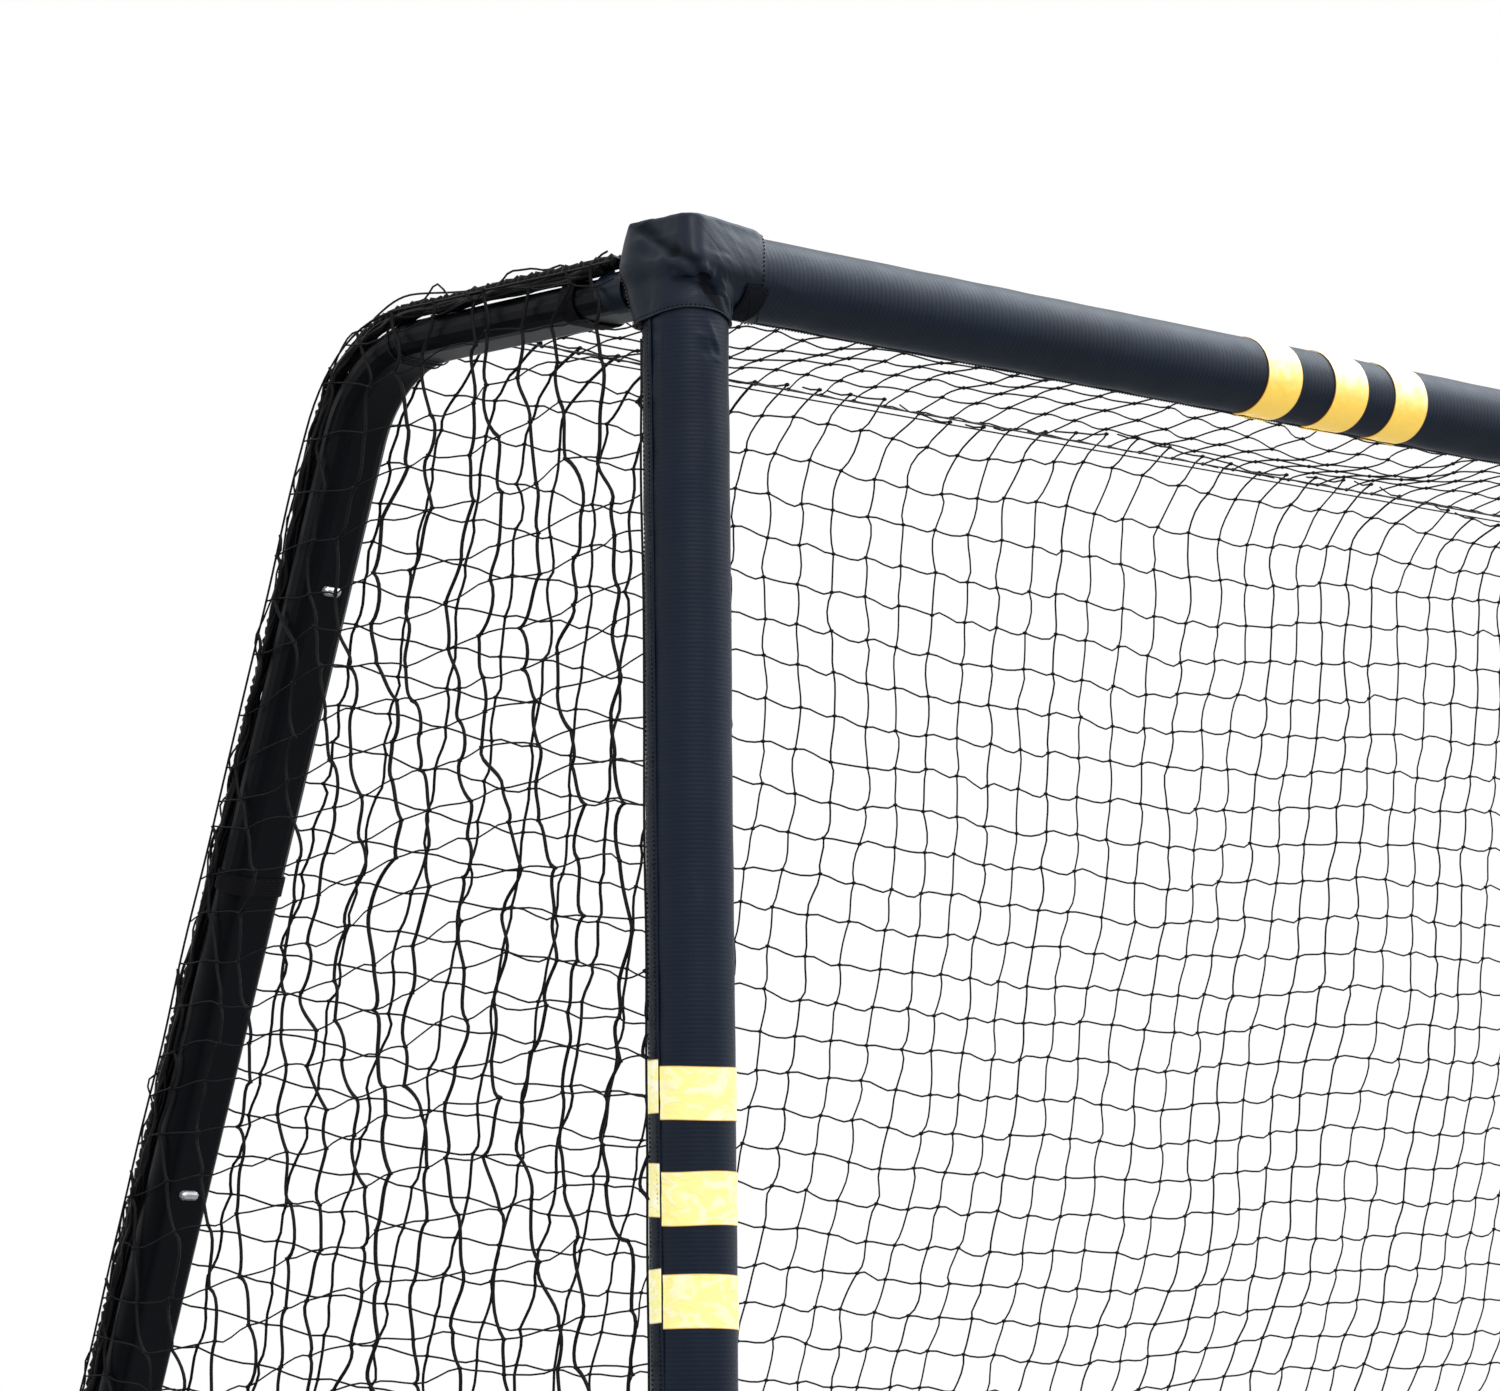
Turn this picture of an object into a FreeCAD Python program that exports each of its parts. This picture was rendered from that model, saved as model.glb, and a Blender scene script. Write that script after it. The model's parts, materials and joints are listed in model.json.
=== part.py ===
"""Golf practice net: sleeved steel front frame, bent side frames and slack nets.

Millimetres. +X runs along the crossbar, +Y to the rear, +Z up. The origin lies on
the floor under the middle of the whole frame. Left pieces are modelled at -X and
every right piece is the mirror image of its left one.
"""
import FreeCAD
import Part
import Sketcher
import math
import os
import re

V = FreeCAD.Vector

SIZES = (
    # Front frame
    ("post_spacing", 2400, "between the axes of the two front posts"),
    ("crossbar_height", 2108, "crossbar axis above the floor"),
    ("tube_dia", 38, "round front tubes"),
    ("tube_wall", 1.5, "wall of the front tubes"),
    ("post_joint", 1060, "height of the plug joint in each post"),
    ("swage_len", 80, "plug length of a reduced tube end"),
    ("push_fit", 0.3, "radial room of a plug in its tube"),
    ("splice_len", 160, "length of the joint plugs of the two long bars"),
    ("elbow_arm", 30, "corner axis to the shoulder where a tube seats"),
    ("plug_len", 70, "plugs of the elbow and of the feet"),
    ("plug_rib", 6, "ribs of the round tubes' plugs"),
    ("elbow_block", 18, "corner axis to the faces of the corner block"),
    ("elbow_cut", 5, "cut of the block's edges"),
    # Padding and sleeves of the front tubes
    ("wrap_gap", 0.1, "room between tube, foam, sleeve and cover"),
    ("foam_thick", 2.2, "foam wrap"),
    ("skin_thick", 0.6, "coated fabric sleeve"),
    ("flap_thick", 1, "overlap strip of the sleeve, with its fastener tape"),
    ("flap_start", 118, "angle where a post's strip begins"),
    ("flap_end", 184, "angle where a post's strip ends"),
    ("flap_low", 285, "angle where the crossbar's strip begins"),
    ("flap_high", 347, "angle where the crossbar's strip ends"),
    ("sleeve_foot", 72, "lower hem of the post sleeve above the floor"),
    # Reflective bands
    ("band_thick", 0.3, "reflective tape"),
    ("post_band_drop", 418, "crossbar axis to the first band of a post"),
    ("post_band_tall", 27.5, "width of a post band"),
    ("post_band_step", 52.5, "pitch of the post bands"),
    ("bar_band_reach", 448, "post axis to the first band of the crossbar"),
    ("bar_band_wide", 30, "width of a crossbar band"),
    ("bar_band_step", 57, "pitch of the crossbar bands"),
    ("band_shift", 4, "how far the tape on the overlap strip is out of line"),
    # Corner cover
    ("cover_half", 25, "corner axis to the outer faces of the cover"),
    ("cover_run", 45, "corner axis to the hem on the crossbar"),
    ("cover_drop", 30, "corner axis to the hem on the post"),
    ("cover_thick", 0.9, "cover fabric"),
    ("cover_base", 17, "corner axis to the underside of the cover's box"),
    ("cover_cut", 7, "cut of the box's edges"),
    ("rail_room", 0.5, "room round the side rail in the cover"),
    ("tab_start", 195, "angle where the stitched tab begins"),
    ("tab_end", 285, "angle where the stitched tab ends"),
    ("tab_thick", 1.2, "stitched tab"),
    ("tab_wide", 15, "width of the stitched tab"),
    # Bent side frames of flat oval tube
    ("side_wide", 40, "width of the oval tube"),
    ("side_deep", 20, "depth of the oval tube"),
    ("side_wall", 1.5, "wall of the oval tube"),
    ("rail_drop", 10, "crossbar axis down to the side rail's axis"),
    ("rail_reach", 247, "post axis back to where rail and leg axes cross"),
    ("lean_angle", 20.5, "leg from the vertical, in degrees"),
    ("bend_radius", 70, "middle line of the bend"),
    # Inner joint of the leg and its two sprung catches
    ("catch_first", 134, "rail axis down the leg to the upper catch"),
    ("catch_step", 352, "upper catch to lower catch"),
    ("splice_past", 35, "inner joint tube beyond each catch"),
    ("catch_wide", 12, "catch button across the leg"),
    ("catch_tall", 5, "catch button along the leg"),
    ("catch_proud", 3.2, "how far the button stands out of the tube"),
    ("catch_room", 0.3, "room round the button in its holes"),
    ("catch_cut", 1.2, "cut of the button's rim"),
    ("heel_wide", 17, "heel that keeps the button in, across the leg"),
    ("heel_tall", 9, "heel along the leg"),
    ("heel_thick", 1.2, "heel thickness"),
    ("spring_thick", 0.8, "leaf spring"),
    ("spring_wide", 8, "leaf spring across the leg"),
    ("spring_long", 44, "catch to the leaf spring's fold"),
    ("spring_fold", 2, "half width of that fold"),
    # Feet and ground bars
    ("pad_thick", 4, "rubber pad under each foot"),
    ("pad_edge", 1.5, "how far the pad stands in from the foot"),
    ("foot_floor", 2, "foot material under the ground bars"),
    ("foot_half", 22, "half width of a foot along X"),
    ("front_foot_tall", 30, "front foot's seat for the post above its underside"),
    ("front_foot_nose", 24, "post axis to the front of the foot"),
    ("front_foot_arm", 30, "post axis to the ground bar's seat"),
    ("rear_foot_front", 26, "leg and bar crossing to the ground bar's seat"),
    ("rear_foot_back", 24, "leg and bar crossing to the back of the foot"),
    ("leg_seat", 27, "the same crossing up the leg to the leg's seat"),
    ("foot_cut", 4, "cut of the feet's upright edges"),
    # Nets, edge ropes and ties
    ("mesh_step", 240, "pitch of the strands kept here, every eighth one"),
    ("strand_wide", 6, "width of a kept strand with its knots"),
    ("net_thick", 2, "net with its knots"),
    ("net_hem", 9, "edge band of each net"),
    ("net_clear", 2.3, "tube face to the net outside it"),
    ("net_room", 0.3, "room between a net and what it is tied to"),
    ("net_front", 10, "post axis back to the side net's front edge"),
    ("net_ground", 12, "side net's lower edge above the floor"),
    ("rope_dia", 9, "bunched edge rope"),
    ("rope_inset", 6, "outer side of the leg to the edge rope's axis"),
    ("line_dia", 1.5, "taut doubled line between the side frames"),
    ("line_turn", 12.5, "angle round the bend at which its rear strand sits"),
    ("line_step", 5.6, "angle back to its other strand"),
    ("tie_wide", 10, "webbing ties"),
    ("tie_thick", 1.9, "double webbing"),
    ("tie_step", 60, "least run between a tie and the end of its bar"),
)

RESULTS = (
    ("side_x", "-post_spacing / 2"),
    ("ground_z", "pad_thick + foot_floor + side_deep / 2"),
    ("rail_z", "crossbar_height - rail_drop"),
    ("turn", "90 - lean_angle"),
    ("leg_run", "(rail_z - ground_z) * tan(lean_angle)"),
    ("leg_len", "(rail_z - ground_z) / cos(lean_angle)"),
    ("post_y", "-(rail_reach + leg_run + rear_foot_back - cover_half) / 2"),
    ("knee_y", "post_y + rail_reach"),
    ("foot_y", "knee_y + leg_run"),
    ("bend_tangent", "bend_radius * tan(turn / 2)"),
    ("seam", "catch_first + catch_step / 2"),
    ("tube_in", "tube_dia / 2 - tube_wall"),
    ("plug_r", "tube_in - push_fit"),
    ("oval_in_wide", "side_wide - 2 * side_wall"),
    ("oval_in_deep", "side_deep - 2 * side_wall"),
    ("oval_plug_wide", "oval_in_wide - 2 * push_fit"),
    ("oval_plug_deep", "oval_in_deep - 2 * push_fit"),
    ("foam_in", "tube_dia / 2 + wrap_gap"),
    ("foam_out", "foam_in + foam_thick"),
    ("skin_in", "foam_out + wrap_gap"),
    ("skin_out", "skin_in + skin_thick"),
    ("flap_out", "skin_out + flap_thick"),
    ("hem_in", "skin_out + wrap_gap"),
    ("hem_out", "hem_in + cover_thick"),
    ("rope_off", "side_deep / 2 + net_clear + net_thick + net_room + rope_dia / 2"),
    ("bar_z", "ground_z - pad_thick"),
)

doc = FreeCAD.newDocument("golf_practice_net")
sheet = doc.addObject("Spreadsheet::Sheet", "Sizes")
nodes = {}


def fill_sheet():
    """Column A names a size, column B holds it, column C says what it is."""
    for row, (alias, value, meaning) in enumerate(SIZES, start=1):
        sheet.set(f"A{row}", alias)
        sheet.set(f"B{row}", str(value))
        sheet.set(f"C{row}", meaning)
        sheet.setAlias(f"B{row}", alias)
    for row, (alias, formula) in enumerate(RESULTS, start=len(SIZES) + 2):
        sheet.set(f"A{row}", alias)
        sheet.set(f"B{row}", "=" + formula)
        sheet.setAlias(f"B{row}", alias)
    doc.recompute()


ALIASES = re.compile(r"\b(" + "|".join(line[0] for line in SIZES + RESULTS) + r")\b")


def full(text):
    """An expression on bare size names, as other objects have to write it."""
    return ALIASES.sub(r"Sizes.\1", str(text))


def size(text):
    return float(sheet.evalExpression(full(text)))


def bind(thing, path, text):
    thing.setExpression(path, full(text))


# Bodies, sketches and features
def body(label, x="0", y="0", z="0", lean=False):
    """A node of its own; a leaning one has its local Z up along the leg."""
    made = doc.addObject("PartDesign::Body", label)
    made.Label = label
    if lean:
        made.Placement = FreeCAD.Placement(V(), FreeCAD.Rotation(V(1, 0, 0), 1))
        bind(made, ".Placement.Rotation.Angle", "lean_angle * 1 deg")
    for axis, text in zip("xyz", (x, y, z)):
        bind(made, ".Placement.Base." + axis, text)
    nodes[label] = made
    return made


def leg_body(label, down, x="side_x", off="0"):
    """A leaning body whose origin is so far down the leg from the rail's axis."""
    y = f"knee_y + ({down}) * sin(lean_angle) + ({off}) * cos(lean_angle)"
    z = f"rail_z - ({down}) * cos(lean_angle) + ({off}) * sin(lean_angle)"
    return body(label, x, y, z, lean=True)


def sketch(owner, plane, name):
    made = owner.newObject("Sketcher::SketchObject", name)
    origin = [part for part in owner.Origin.OriginFeatures if part.Role == plane]
    made.AttachmentSupport = [(origin[0], "")]
    made.MapMode = "FlatFace"
    return made


def offset_to(drawing, distance):
    """Moves a sketch along its own normal."""
    drawing.AttachmentOffset = FreeCAD.Placement(V(0, 0, 1), FreeCAD.Rotation())
    bind(drawing, ".AttachmentOffset.Base.z", distance)


def fix(drawing, kind, refs, text):
    """Adds one dimension and ties it to its expression."""
    unit = " * 1 deg" if kind == "Angle" else ""
    value = math.radians(size(text)) if kind == "Angle" else size(text)
    index = drawing.addConstraint(Sketcher.Constraint(kind, *refs, value))
    bind(drawing, f"Constraints[{index}]", f"({text}){unit}")


def place(drawing, geometry, point, x, y):
    fix(drawing, "DistanceX", (-1, 1, geometry, point), x)
    fix(drawing, "DistanceY", (-1, 1, geometry, point), y)


def circle(drawing, radius, x="0", y="0"):
    centre = V(size(x), size(y), 0)
    shape = Part.Circle(centre, V(0, 0, 1), size(radius))
    index = drawing.addGeometry(shape)
    place(drawing, index, 3, x, y)
    fix(drawing, "Radius", (index,), radius)


def slot(drawing, wide, deep, x="0", y="0"):
    """A flat oval with its long side along the sketch's X."""
    half, r = f"(({wide}) - ({deep})) / 2", f"({deep}) / 2"
    cx, cy, a, rad = size(x), size(y), size(half), size(r)
    up = V(0, 0, 1)
    right = Part.ArcOfCircle(Part.Circle(V(cx + a, cy, 0), up, rad), -math.pi / 2, math.pi / 2)
    left = Part.ArcOfCircle(Part.Circle(V(cx - a, cy, 0), up, rad), math.pi / 2, 1.5 * math.pi)
    top = Part.LineSegment(V(cx + a, cy + rad, 0), V(cx - a, cy + rad, 0))
    low = Part.LineSegment(V(cx - a, cy - rad, 0), V(cx + a, cy - rad, 0))
    r0, t0, l0, b0 = [drawing.addGeometry(g) for g in (right, top, left, low)]
    for one, two in ((r0, t0), (t0, l0), (l0, b0), (b0, r0)):
        drawing.addConstraint(Sketcher.Constraint("Tangent", one, 2, two, 1))
    drawing.addConstraint(Sketcher.Constraint("Equal", r0, l0))
    place(drawing, r0, 3, f"({x}) + {half}", y)
    place(drawing, l0, 3, f"({x}) - {half}", y)
    fix(drawing, "Radius", (r0,), r)


def outline(drawing, points):
    """A closed polygon with every corner tied to its two expressions."""
    spots = [V(size(x), size(y), 0) for x, y in points]
    count = len(points)
    lines = [
        drawing.addGeometry(Part.LineSegment(spots[i], spots[(i + 1) % count]))
        for i in range(count)
    ]
    for i in range(count):
        meet = Sketcher.Constraint("Coincident", lines[i], 2, lines[(i + 1) % count], 1)
        drawing.addConstraint(meet)
    for line, (x, y) in zip(lines, points):
        place(drawing, line, 1, x, y)


def polygon(drawing, radius, sides, inside=False):
    """An even polygon about the origin, its flats on the radius or its corners inside it."""
    reach = f"({radius})" if inside else f"({radius}) / cos({180 / sides})"
    turns = [(i + 0.5) * 360 / sides for i in range(sides)]
    outline(drawing, [(f"{reach} * cos({turn})", f"{reach} * sin({turn})") for turn in turns])


def facets(drawing, inner, outer, start, end, count):
    """A stretch of a ring in equal flats that clear its two radii."""
    sweep = f"(({end}) - ({start}))"
    rims = []
    for radius in (inner, outer):
        reach = f"({radius}) / cos({sweep} / {2 * count})"
        turns = [f"(({start}) + {sweep} * {i} / {count})" for i in range(count + 1)]
        rims.append([(f"{reach} * cos({turn})", f"{reach} * sin({turn})") for turn in turns])
    outline(drawing, rims[1] + rims[0][::-1])


def cross(drawing, radius, rib):
    """Two ribs at right angles whose corners touch a bore of that radius."""
    far, near = f"sqrt(({radius}) ^ 2 - ({rib}) ^ 2 / 4)", f"({rib}) / 2"
    quarter = [(far, f"-({near})"), (far, near), (near, near)]
    points = []
    for _ in range(4):
        points += quarter
        quarter = [(f"-({y})", x) for x, y in quarter]
    outline(drawing, points)


def flat_oval(drawing, wide, deep, flats=8):
    """A flat oval with equal flats for its round ends, their corners on the true curve."""
    half, r = f"(({wide}) - ({deep})) / 2", f"({deep}) / 2"
    turns = [180 * i / flats - 90 for i in range(flats + 1)]
    right = [(f"{half} + {r} * cos({turn})", f"{r} * sin({turn})") for turn in turns]
    outline(drawing, right + [(f"-({x})", f"-({y})") for x, y in right])


def flat_plug(drawing, wide, deep, y="0"):
    """A bar with cut corners inside a flat oval of that size."""
    r, a = f"({deep}) / 2", f"(({wide}) - ({deep})) / 2"
    right = [(a, f"-{r}"), (f"{a} + {r} * cos(30)", f"-{r} / 2"),
             (f"{a} + {r} * cos(30)", f"{r} / 2"), (a, r)]
    left = [(f"-({px})", f"-({py})") for px, py in right]
    outline(drawing, [(px, f"{y} + {py}") for px, py in right + left])


def cut_slot(drawing, wide, tall, y="0"):
    """A hole or button outline with cut corners, its long side along X."""
    right = [(f"({wide}) / 2", f"-({tall}) / 5"), (f"({wide}) / 2", f"({tall}) / 5"),
             (f"({wide}) / 2 - ({tall}) * 0.3", f"({tall}) / 2")]
    left = [(f"-({px})", py) for px, py in right[::-1]]
    low = [(f"-({wide}) / 2 + ({tall}) * 0.3", f"-({tall}) / 2"),
           (f"({wide}) / 2 - ({tall}) * 0.3", f"-({tall}) / 2")]
    points = right + left + low
    outline(drawing, [(px, f"({y}) + {py}") for px, py in points])


def sector(drawing, inner, outer, start, end):
    """A stretch of a ring about the sketch's origin, between two angles."""
    low, high = math.radians(size(start)), math.radians(size(end))
    up = V(0, 0, 1)
    arcs = []
    for radius in (outer, inner):
        ring = Part.Circle(V(), up, size(radius))
        arcs.append(drawing.addGeometry(Part.ArcOfCircle(ring, low, high)))
        drawing.addConstraint(Sketcher.Constraint("Coincident", arcs[-1], 3, -1, 1))
        fix(drawing, "Radius", (arcs[-1],), radius)
    for angle, point, text in ((low, 1, start), (high, 2, end)):
        way = V(math.cos(angle), math.sin(angle), 0)
        line = Part.LineSegment(way * size(inner), way * size(outer))
        index = drawing.addGeometry(line)
        for own, arc in ((1, arcs[1]), (2, arcs[0])):
            meet = Sketcher.Constraint("Coincident", index, own, arc, point)
            drawing.addConstraint(meet)
        for arc in arcs:
            at = f"({outer})" if arc == arcs[0] else f"({inner})"
            axis = "DistanceX" if abs(way.x) < abs(way.y) else "DistanceY"
            trig = "cos" if axis == "DistanceX" else "sin"
            fix(drawing, axis, (-1, 1, arc, point), f"{at} * {trig}({text})")


def tilt_to(drawing, y, z, angle):
    """Moves a sketch in its body's YZ plane and tips it about X."""
    drawing.AttachmentOffset = FreeCAD.Placement(V(0, 0, 1), FreeCAD.Rotation(V(1, 0, 0), 1))
    bind(drawing, ".AttachmentOffset.Base.y", y)
    bind(drawing, ".AttachmentOffset.Base.z", z)
    bind(drawing, ".AttachmentOffset.Rotation.Angle", f"({angle}) * 1 deg")


def pad(owner, drawing, length, back=False, both=False):
    made = owner.newObject("PartDesign::Pad", drawing.Name + "_pad")
    made.Profile = drawing
    made.Reversed = back
    if both:
        made.SideType = "Symmetric"
    bind(made, "Length", length)
    return made


def pocket(owner, drawing, length, back=False):
    made = owner.newObject("PartDesign::Pocket", drawing.Name + "_cut")
    made.Profile = drawing
    made.Reversed = back
    bind(made, "Length", length)
    return made


def tube(owner, plane, wide, deep, wall, length, back=False, both=False, y="0"):
    """An oval tube on one of the body's planes; equal width and depth make it round."""
    drawing = sketch(owner, plane, owner.Name + "_section")
    for inset in ("0", wall):
        if wide == deep:
            circle(drawing, f"({wide}) / 2 - ({inset})", y=y)
        else:
            slot(drawing, f"({wide}) - 2 * ({inset})", f"({deep}) - 2 * ({inset})", y=y)
    return pad(owner, drawing, length, back, both)


def turned(owner, points):
    """A revolved piece; points are (radius, height) pairs on the XZ plane."""
    drawing = sketch(owner, "XZ_Plane", owner.Name + "_profile")
    outline(drawing, points)
    made = owner.newObject("PartDesign::Revolution", owner.Name + "_turn")
    made.Profile = drawing
    made.ReferenceAxis = (drawing, ["V_Axis"])
    made.Angle = 360
    return made


def bent(owner, section, first, radius, angle, last):
    """A section run up the body's Z, round a bend towards -Y and straight on."""
    start = sketch(owner, "XY_Plane", owner.Name + "_start")
    section(start)
    pad(owner, start, first)
    middle = sketch(owner, "XY_Plane", owner.Name + "_middle")
    offset_to(middle, first)
    section(middle)
    axis = Part.LineSegment(V(-50, -size(radius), 0), V(50, -size(radius), 0))
    line = middle.addGeometry(axis, True)
    place(middle, line, 1, "-50", f"-({radius})")
    place(middle, line, 2, "50", f"-({radius})")
    curve = owner.newObject("PartDesign::Revolution", owner.Name + "_bend")
    curve.Profile = middle
    curve.ReferenceAxis = (middle, ["Axis0"])
    bind(curve, "Angle", f"({angle}) * 1 deg")
    end = sketch(owner, "XY_Plane", owner.Name + "_end")
    tilt_to(end, f"-({radius}) * (1 - cos({angle}))", f"{first} + ({radius}) * sin({angle})", angle)
    section(end)
    pad(owner, end, last)


def cut_edges(owner, pick, text):
    """Chamfers the edges of the body so far whose end points all suit the choice."""
    doc.recompute()
    names = [
        f"Edge{number}"
        for number, edge in enumerate(owner.Tip.Shape.Edges, start=1)
        if pick([vertex.Point for vertex in edge.Vertexes])
    ]
    base = owner.Tip
    made = owner.newObject("PartDesign::Chamfer", owner.Name + "_cut")
    made.Base = (base, names)
    bind(made, "Size", text)


def shape_node(label, shape):
    """A node whose form is made by loops on the sheet's sizes."""
    made = doc.addObject("Part::Feature", label)
    made.Label = label
    made.Shape = shape
    nodes[label] = made
    return made


# Front frame
def post_tubes():
    foot = "pad_thick + front_foot_tall"
    lower = body("left_post_tube_lower", "side_x", "post_y", foot)
    tube(lower, "XY_Plane", "tube_dia", "tube_dia", "tube_wall", f"post_joint - ({foot})")
    upper = body("left_post_tube_upper", "side_x", "post_y", "post_joint")
    top = "crossbar_height - elbow_arm - post_joint"
    turned(upper, (
        ("plug_r - tube_wall", "-swage_len"),
        ("plug_r", "-swage_len"),
        ("plug_r", "0"),
        ("tube_dia / 2", "0"),
        ("tube_dia / 2", top),
        ("tube_in", top),
        ("tube_in", "2 * tube_wall"),
        ("plug_r - tube_wall", "-tube_wall"),
    ))


def crossbar_tubes():
    half = body("left_crossbar_tube", "side_x + elbow_arm", "post_y", "crossbar_height")
    tube(half, "YZ_Plane", "tube_dia", "tube_dia", "tube_wall", "post_spacing / 2 - elbow_arm")
    joint = body("crossbar_splice", "0", "post_y", "crossbar_height")
    drawing = sketch(joint, "YZ_Plane", "crossbar_joint_plug")
    cross(drawing, "plug_r", "plug_rib")
    pad(joint, drawing, "splice_len", both=True)


def corner_elbow():
    """A corner block with three ribbed plugs; a tube pushes on to each of them."""
    elbow = body("left_corner_elbow", "side_x", "post_y", "crossbar_height")
    block = sketch(elbow, "XY_Plane", "elbow_block")
    outline(block, square("elbow_block"))
    pad(elbow, block, "2 * elbow_block", both=True)
    cut_edges(elbow, lambda ends: True, "elbow_cut")
    for plane, back in (("XY_Plane", True), ("YZ_Plane", False)):
        arm = sketch(elbow, plane, "elbow_arm_" + plane[:2])
        polygon(arm, "tube_dia / 2", 12, inside=True)
        pad(elbow, arm, "elbow_arm", back)
        plug = sketch(elbow, plane, "elbow_plug_" + plane[:2])
        cross(plug, "plug_r", "plug_rib")
        pad(elbow, plug, "elbow_arm + plug_len", back)
    boss = sketch(elbow, "XZ_Plane", "rail_boss")
    flat_plug(boss, "side_wide", "side_deep", y="-rail_drop")
    pad(elbow, boss, "elbow_arm", back=True)
    plug = sketch(elbow, "XZ_Plane", "rail_plug")
    flat_plug(plug, "oval_plug_wide", "oval_plug_deep", y="-rail_drop")
    pad(elbow, plug, "elbow_arm + plug_len", back=True)


def square(half):
    return [(f"-({half})", f"-({half})"), (half, f"-({half})"), (half, half), (f"-({half})", half)]


# Foam, sleeves and reflective bands
def wrap(owner, plane, inner, outer, length):
    drawing = sketch(owner, plane, owner.Name + "_ring")
    circle(drawing, inner)
    circle(drawing, outer)
    return pad(owner, drawing, length)


def foam_wrap(owner, plane, length):
    """Foam in flats between the round tube and the round sleeve."""
    drawing = sketch(owner, plane, owner.Name + "_ring")
    polygon(drawing, "foam_in", 16)
    polygon(drawing, "foam_out", 16, inside=True)
    pad(owner, drawing, length)


def overlap_strip(owner, plane, start, end, length, margin="0"):
    """The closing flap, which laps over the sleeve, is sewn down and stops at the covers."""
    drawing = sketch(owner, plane, owner.Name + "_strip")
    offset_to(drawing, margin)
    sector(drawing, "skin_in + skin_thick / 2", "flap_out", start, end)
    return pad(owner, drawing, length)


def front_wraps():
    tall = "rail_z - side_deep / 2 - 2 * wrap_gap - sleeve_foot"
    lapped = "crossbar_height - cover_drop - 2 * wrap_gap - sleeve_foot"
    foam_wrap(body("left_post_foam", "side_x", "post_y", "sleeve_foot"), "XY_Plane", tall)
    sleeve = body("left_post_sleeve", "side_x", "post_y", "sleeve_foot")
    wrap(sleeve, "XY_Plane", "skin_in", "skin_out", tall)
    overlap_strip(sleeve, "XY_Plane", "flap_start", "flap_end", lapped)
    start, length = "side_x + elbow_arm + 2 * wrap_gap", "post_spacing - 2 * elbow_arm - 4 * wrap_gap"
    foam_wrap(body("crossbar_foam", start, "post_y", "crossbar_height"), "YZ_Plane", length)
    sleeve = body("crossbar_sleeve", start, "post_y", "crossbar_height")
    wrap(sleeve, "YZ_Plane", "skin_in", "skin_out", length)
    margin = "(cover_run - elbow_arm + 2 * wrap_gap)"
    overlap_strip(sleeve, "YZ_Plane", "flap_low", "flap_high", f"{length} - 2 * {margin}", margin)


def bands(label, plane, x, z, wide, step, start, end, axis):
    """Three creased strips of tape round the sleeve and, out of line, over its strip."""
    owner = body(label, x, "post_y", z)
    round_part = sketch(owner, plane, label + "_round")
    facets(round_part, "skin_out + wrap_gap / 2", "skin_out + wrap_gap / 2 + band_thick",
           f"{end} + 1", f"{start} + 359", 12)
    first = pad(owner, round_part, wide)
    lap = sketch(owner, plane, label + "_lap")
    offset_to(lap, "band_shift")
    facets(lap, "flap_out + wrap_gap / 2", "flap_out + wrap_gap / 2 + band_thick", start, end, 3)
    second = pad(owner, lap, wide)
    row = owner.newObject("PartDesign::LinearPattern", label + "_row")
    row.Originals = [first, second]
    way = [part for part in owner.Origin.OriginFeatures if part.Role == axis]
    row.Direction = (way[0], [""])
    row.Occurrences = 3
    bind(row, "Length", f"2 * ({step})")
    owner.Tip = row


def reflective_bands():
    lowest = "crossbar_height - post_band_drop - post_band_tall - 2 * post_band_step"
    bands("left_post_bands", "XY_Plane", "side_x", lowest, "post_band_tall", "post_band_step",
          "flap_start", "flap_end", "Z_Axis")
    bands("left_crossbar_bands", "YZ_Plane", "side_x + bar_band_reach", "crossbar_height",
          "bar_band_wide", "bar_band_step", "flap_low", "flap_high", "X_Axis")


# Corner cover
def cover_form(inset):
    """The cover's outer form, or the space inside it when inset by the fabric."""
    half, hem, base = size("cover_half") - inset, size("hem_out") - inset, size("cover_base") - inset
    block = Part.makeBox(2 * half, 2 * half, half + base, V(-half, -half, -base))
    block = block.makeChamfer(size("cover_cut") - 0.6 * inset, block.Edges)
    past = 1 if inset else 0
    down = round_prism(hem, size("cover_drop") + past)
    down.Placement = FreeCAD.Placement(V(), FreeCAD.Rotation(V(1, 0, 0), 180))
    along = round_prism(hem, size("cover_run") + past)
    along.Placement = FreeCAD.Placement(V(), FreeCAD.Rotation(V(0, 1, 0), 90))
    return block.multiFuse([down, along])


def corner_cover():
    hood = cover_form(0).cut(cover_form(size("cover_thick")))
    room = 2 * size("rail_room")
    opening = oval_prism(size("side_wide") + room, size("side_deep") + room, 2 * size("cover_half"))
    opening.Placement = FreeCAD.Placement(V(0, 0, -size("rail_drop")), FreeCAD.Rotation(V(1, 0, 0), -90))
    hood = hood.cut(opening)
    cover = shape_node("left_corner_cover", hood)
    cover.Placement = FreeCAD.Placement(
        V(size("side_x"), size("post_y"), size("crossbar_height")), FreeCAD.Rotation())
    tab = body("left_cover_tab", "side_x + cover_run - tab_wide", "post_y", "crossbar_height")
    drawing = sketch(tab, "YZ_Plane", "tab_section")
    inner = "hem_out + wrap_gap / 2"
    facets(drawing, inner, inner + " + tab_thick", "tab_start", "tab_end", 3)
    pad(tab, drawing, "tab_wide")


def round_prism(radius, length):
    """Twelve flats round a radius, along +Z."""
    reach = radius / math.cos(math.radians(15))
    ring = [V(reach, 0, 0)]
    ring = [FreeCAD.Rotation(V(0, 0, 1), 15 + 30 * i).multVec(ring[0]) for i in range(12)]
    return Part.Face(Part.makePolygon(ring + ring[:1])).extrude(V(0, 0, length))


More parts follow.
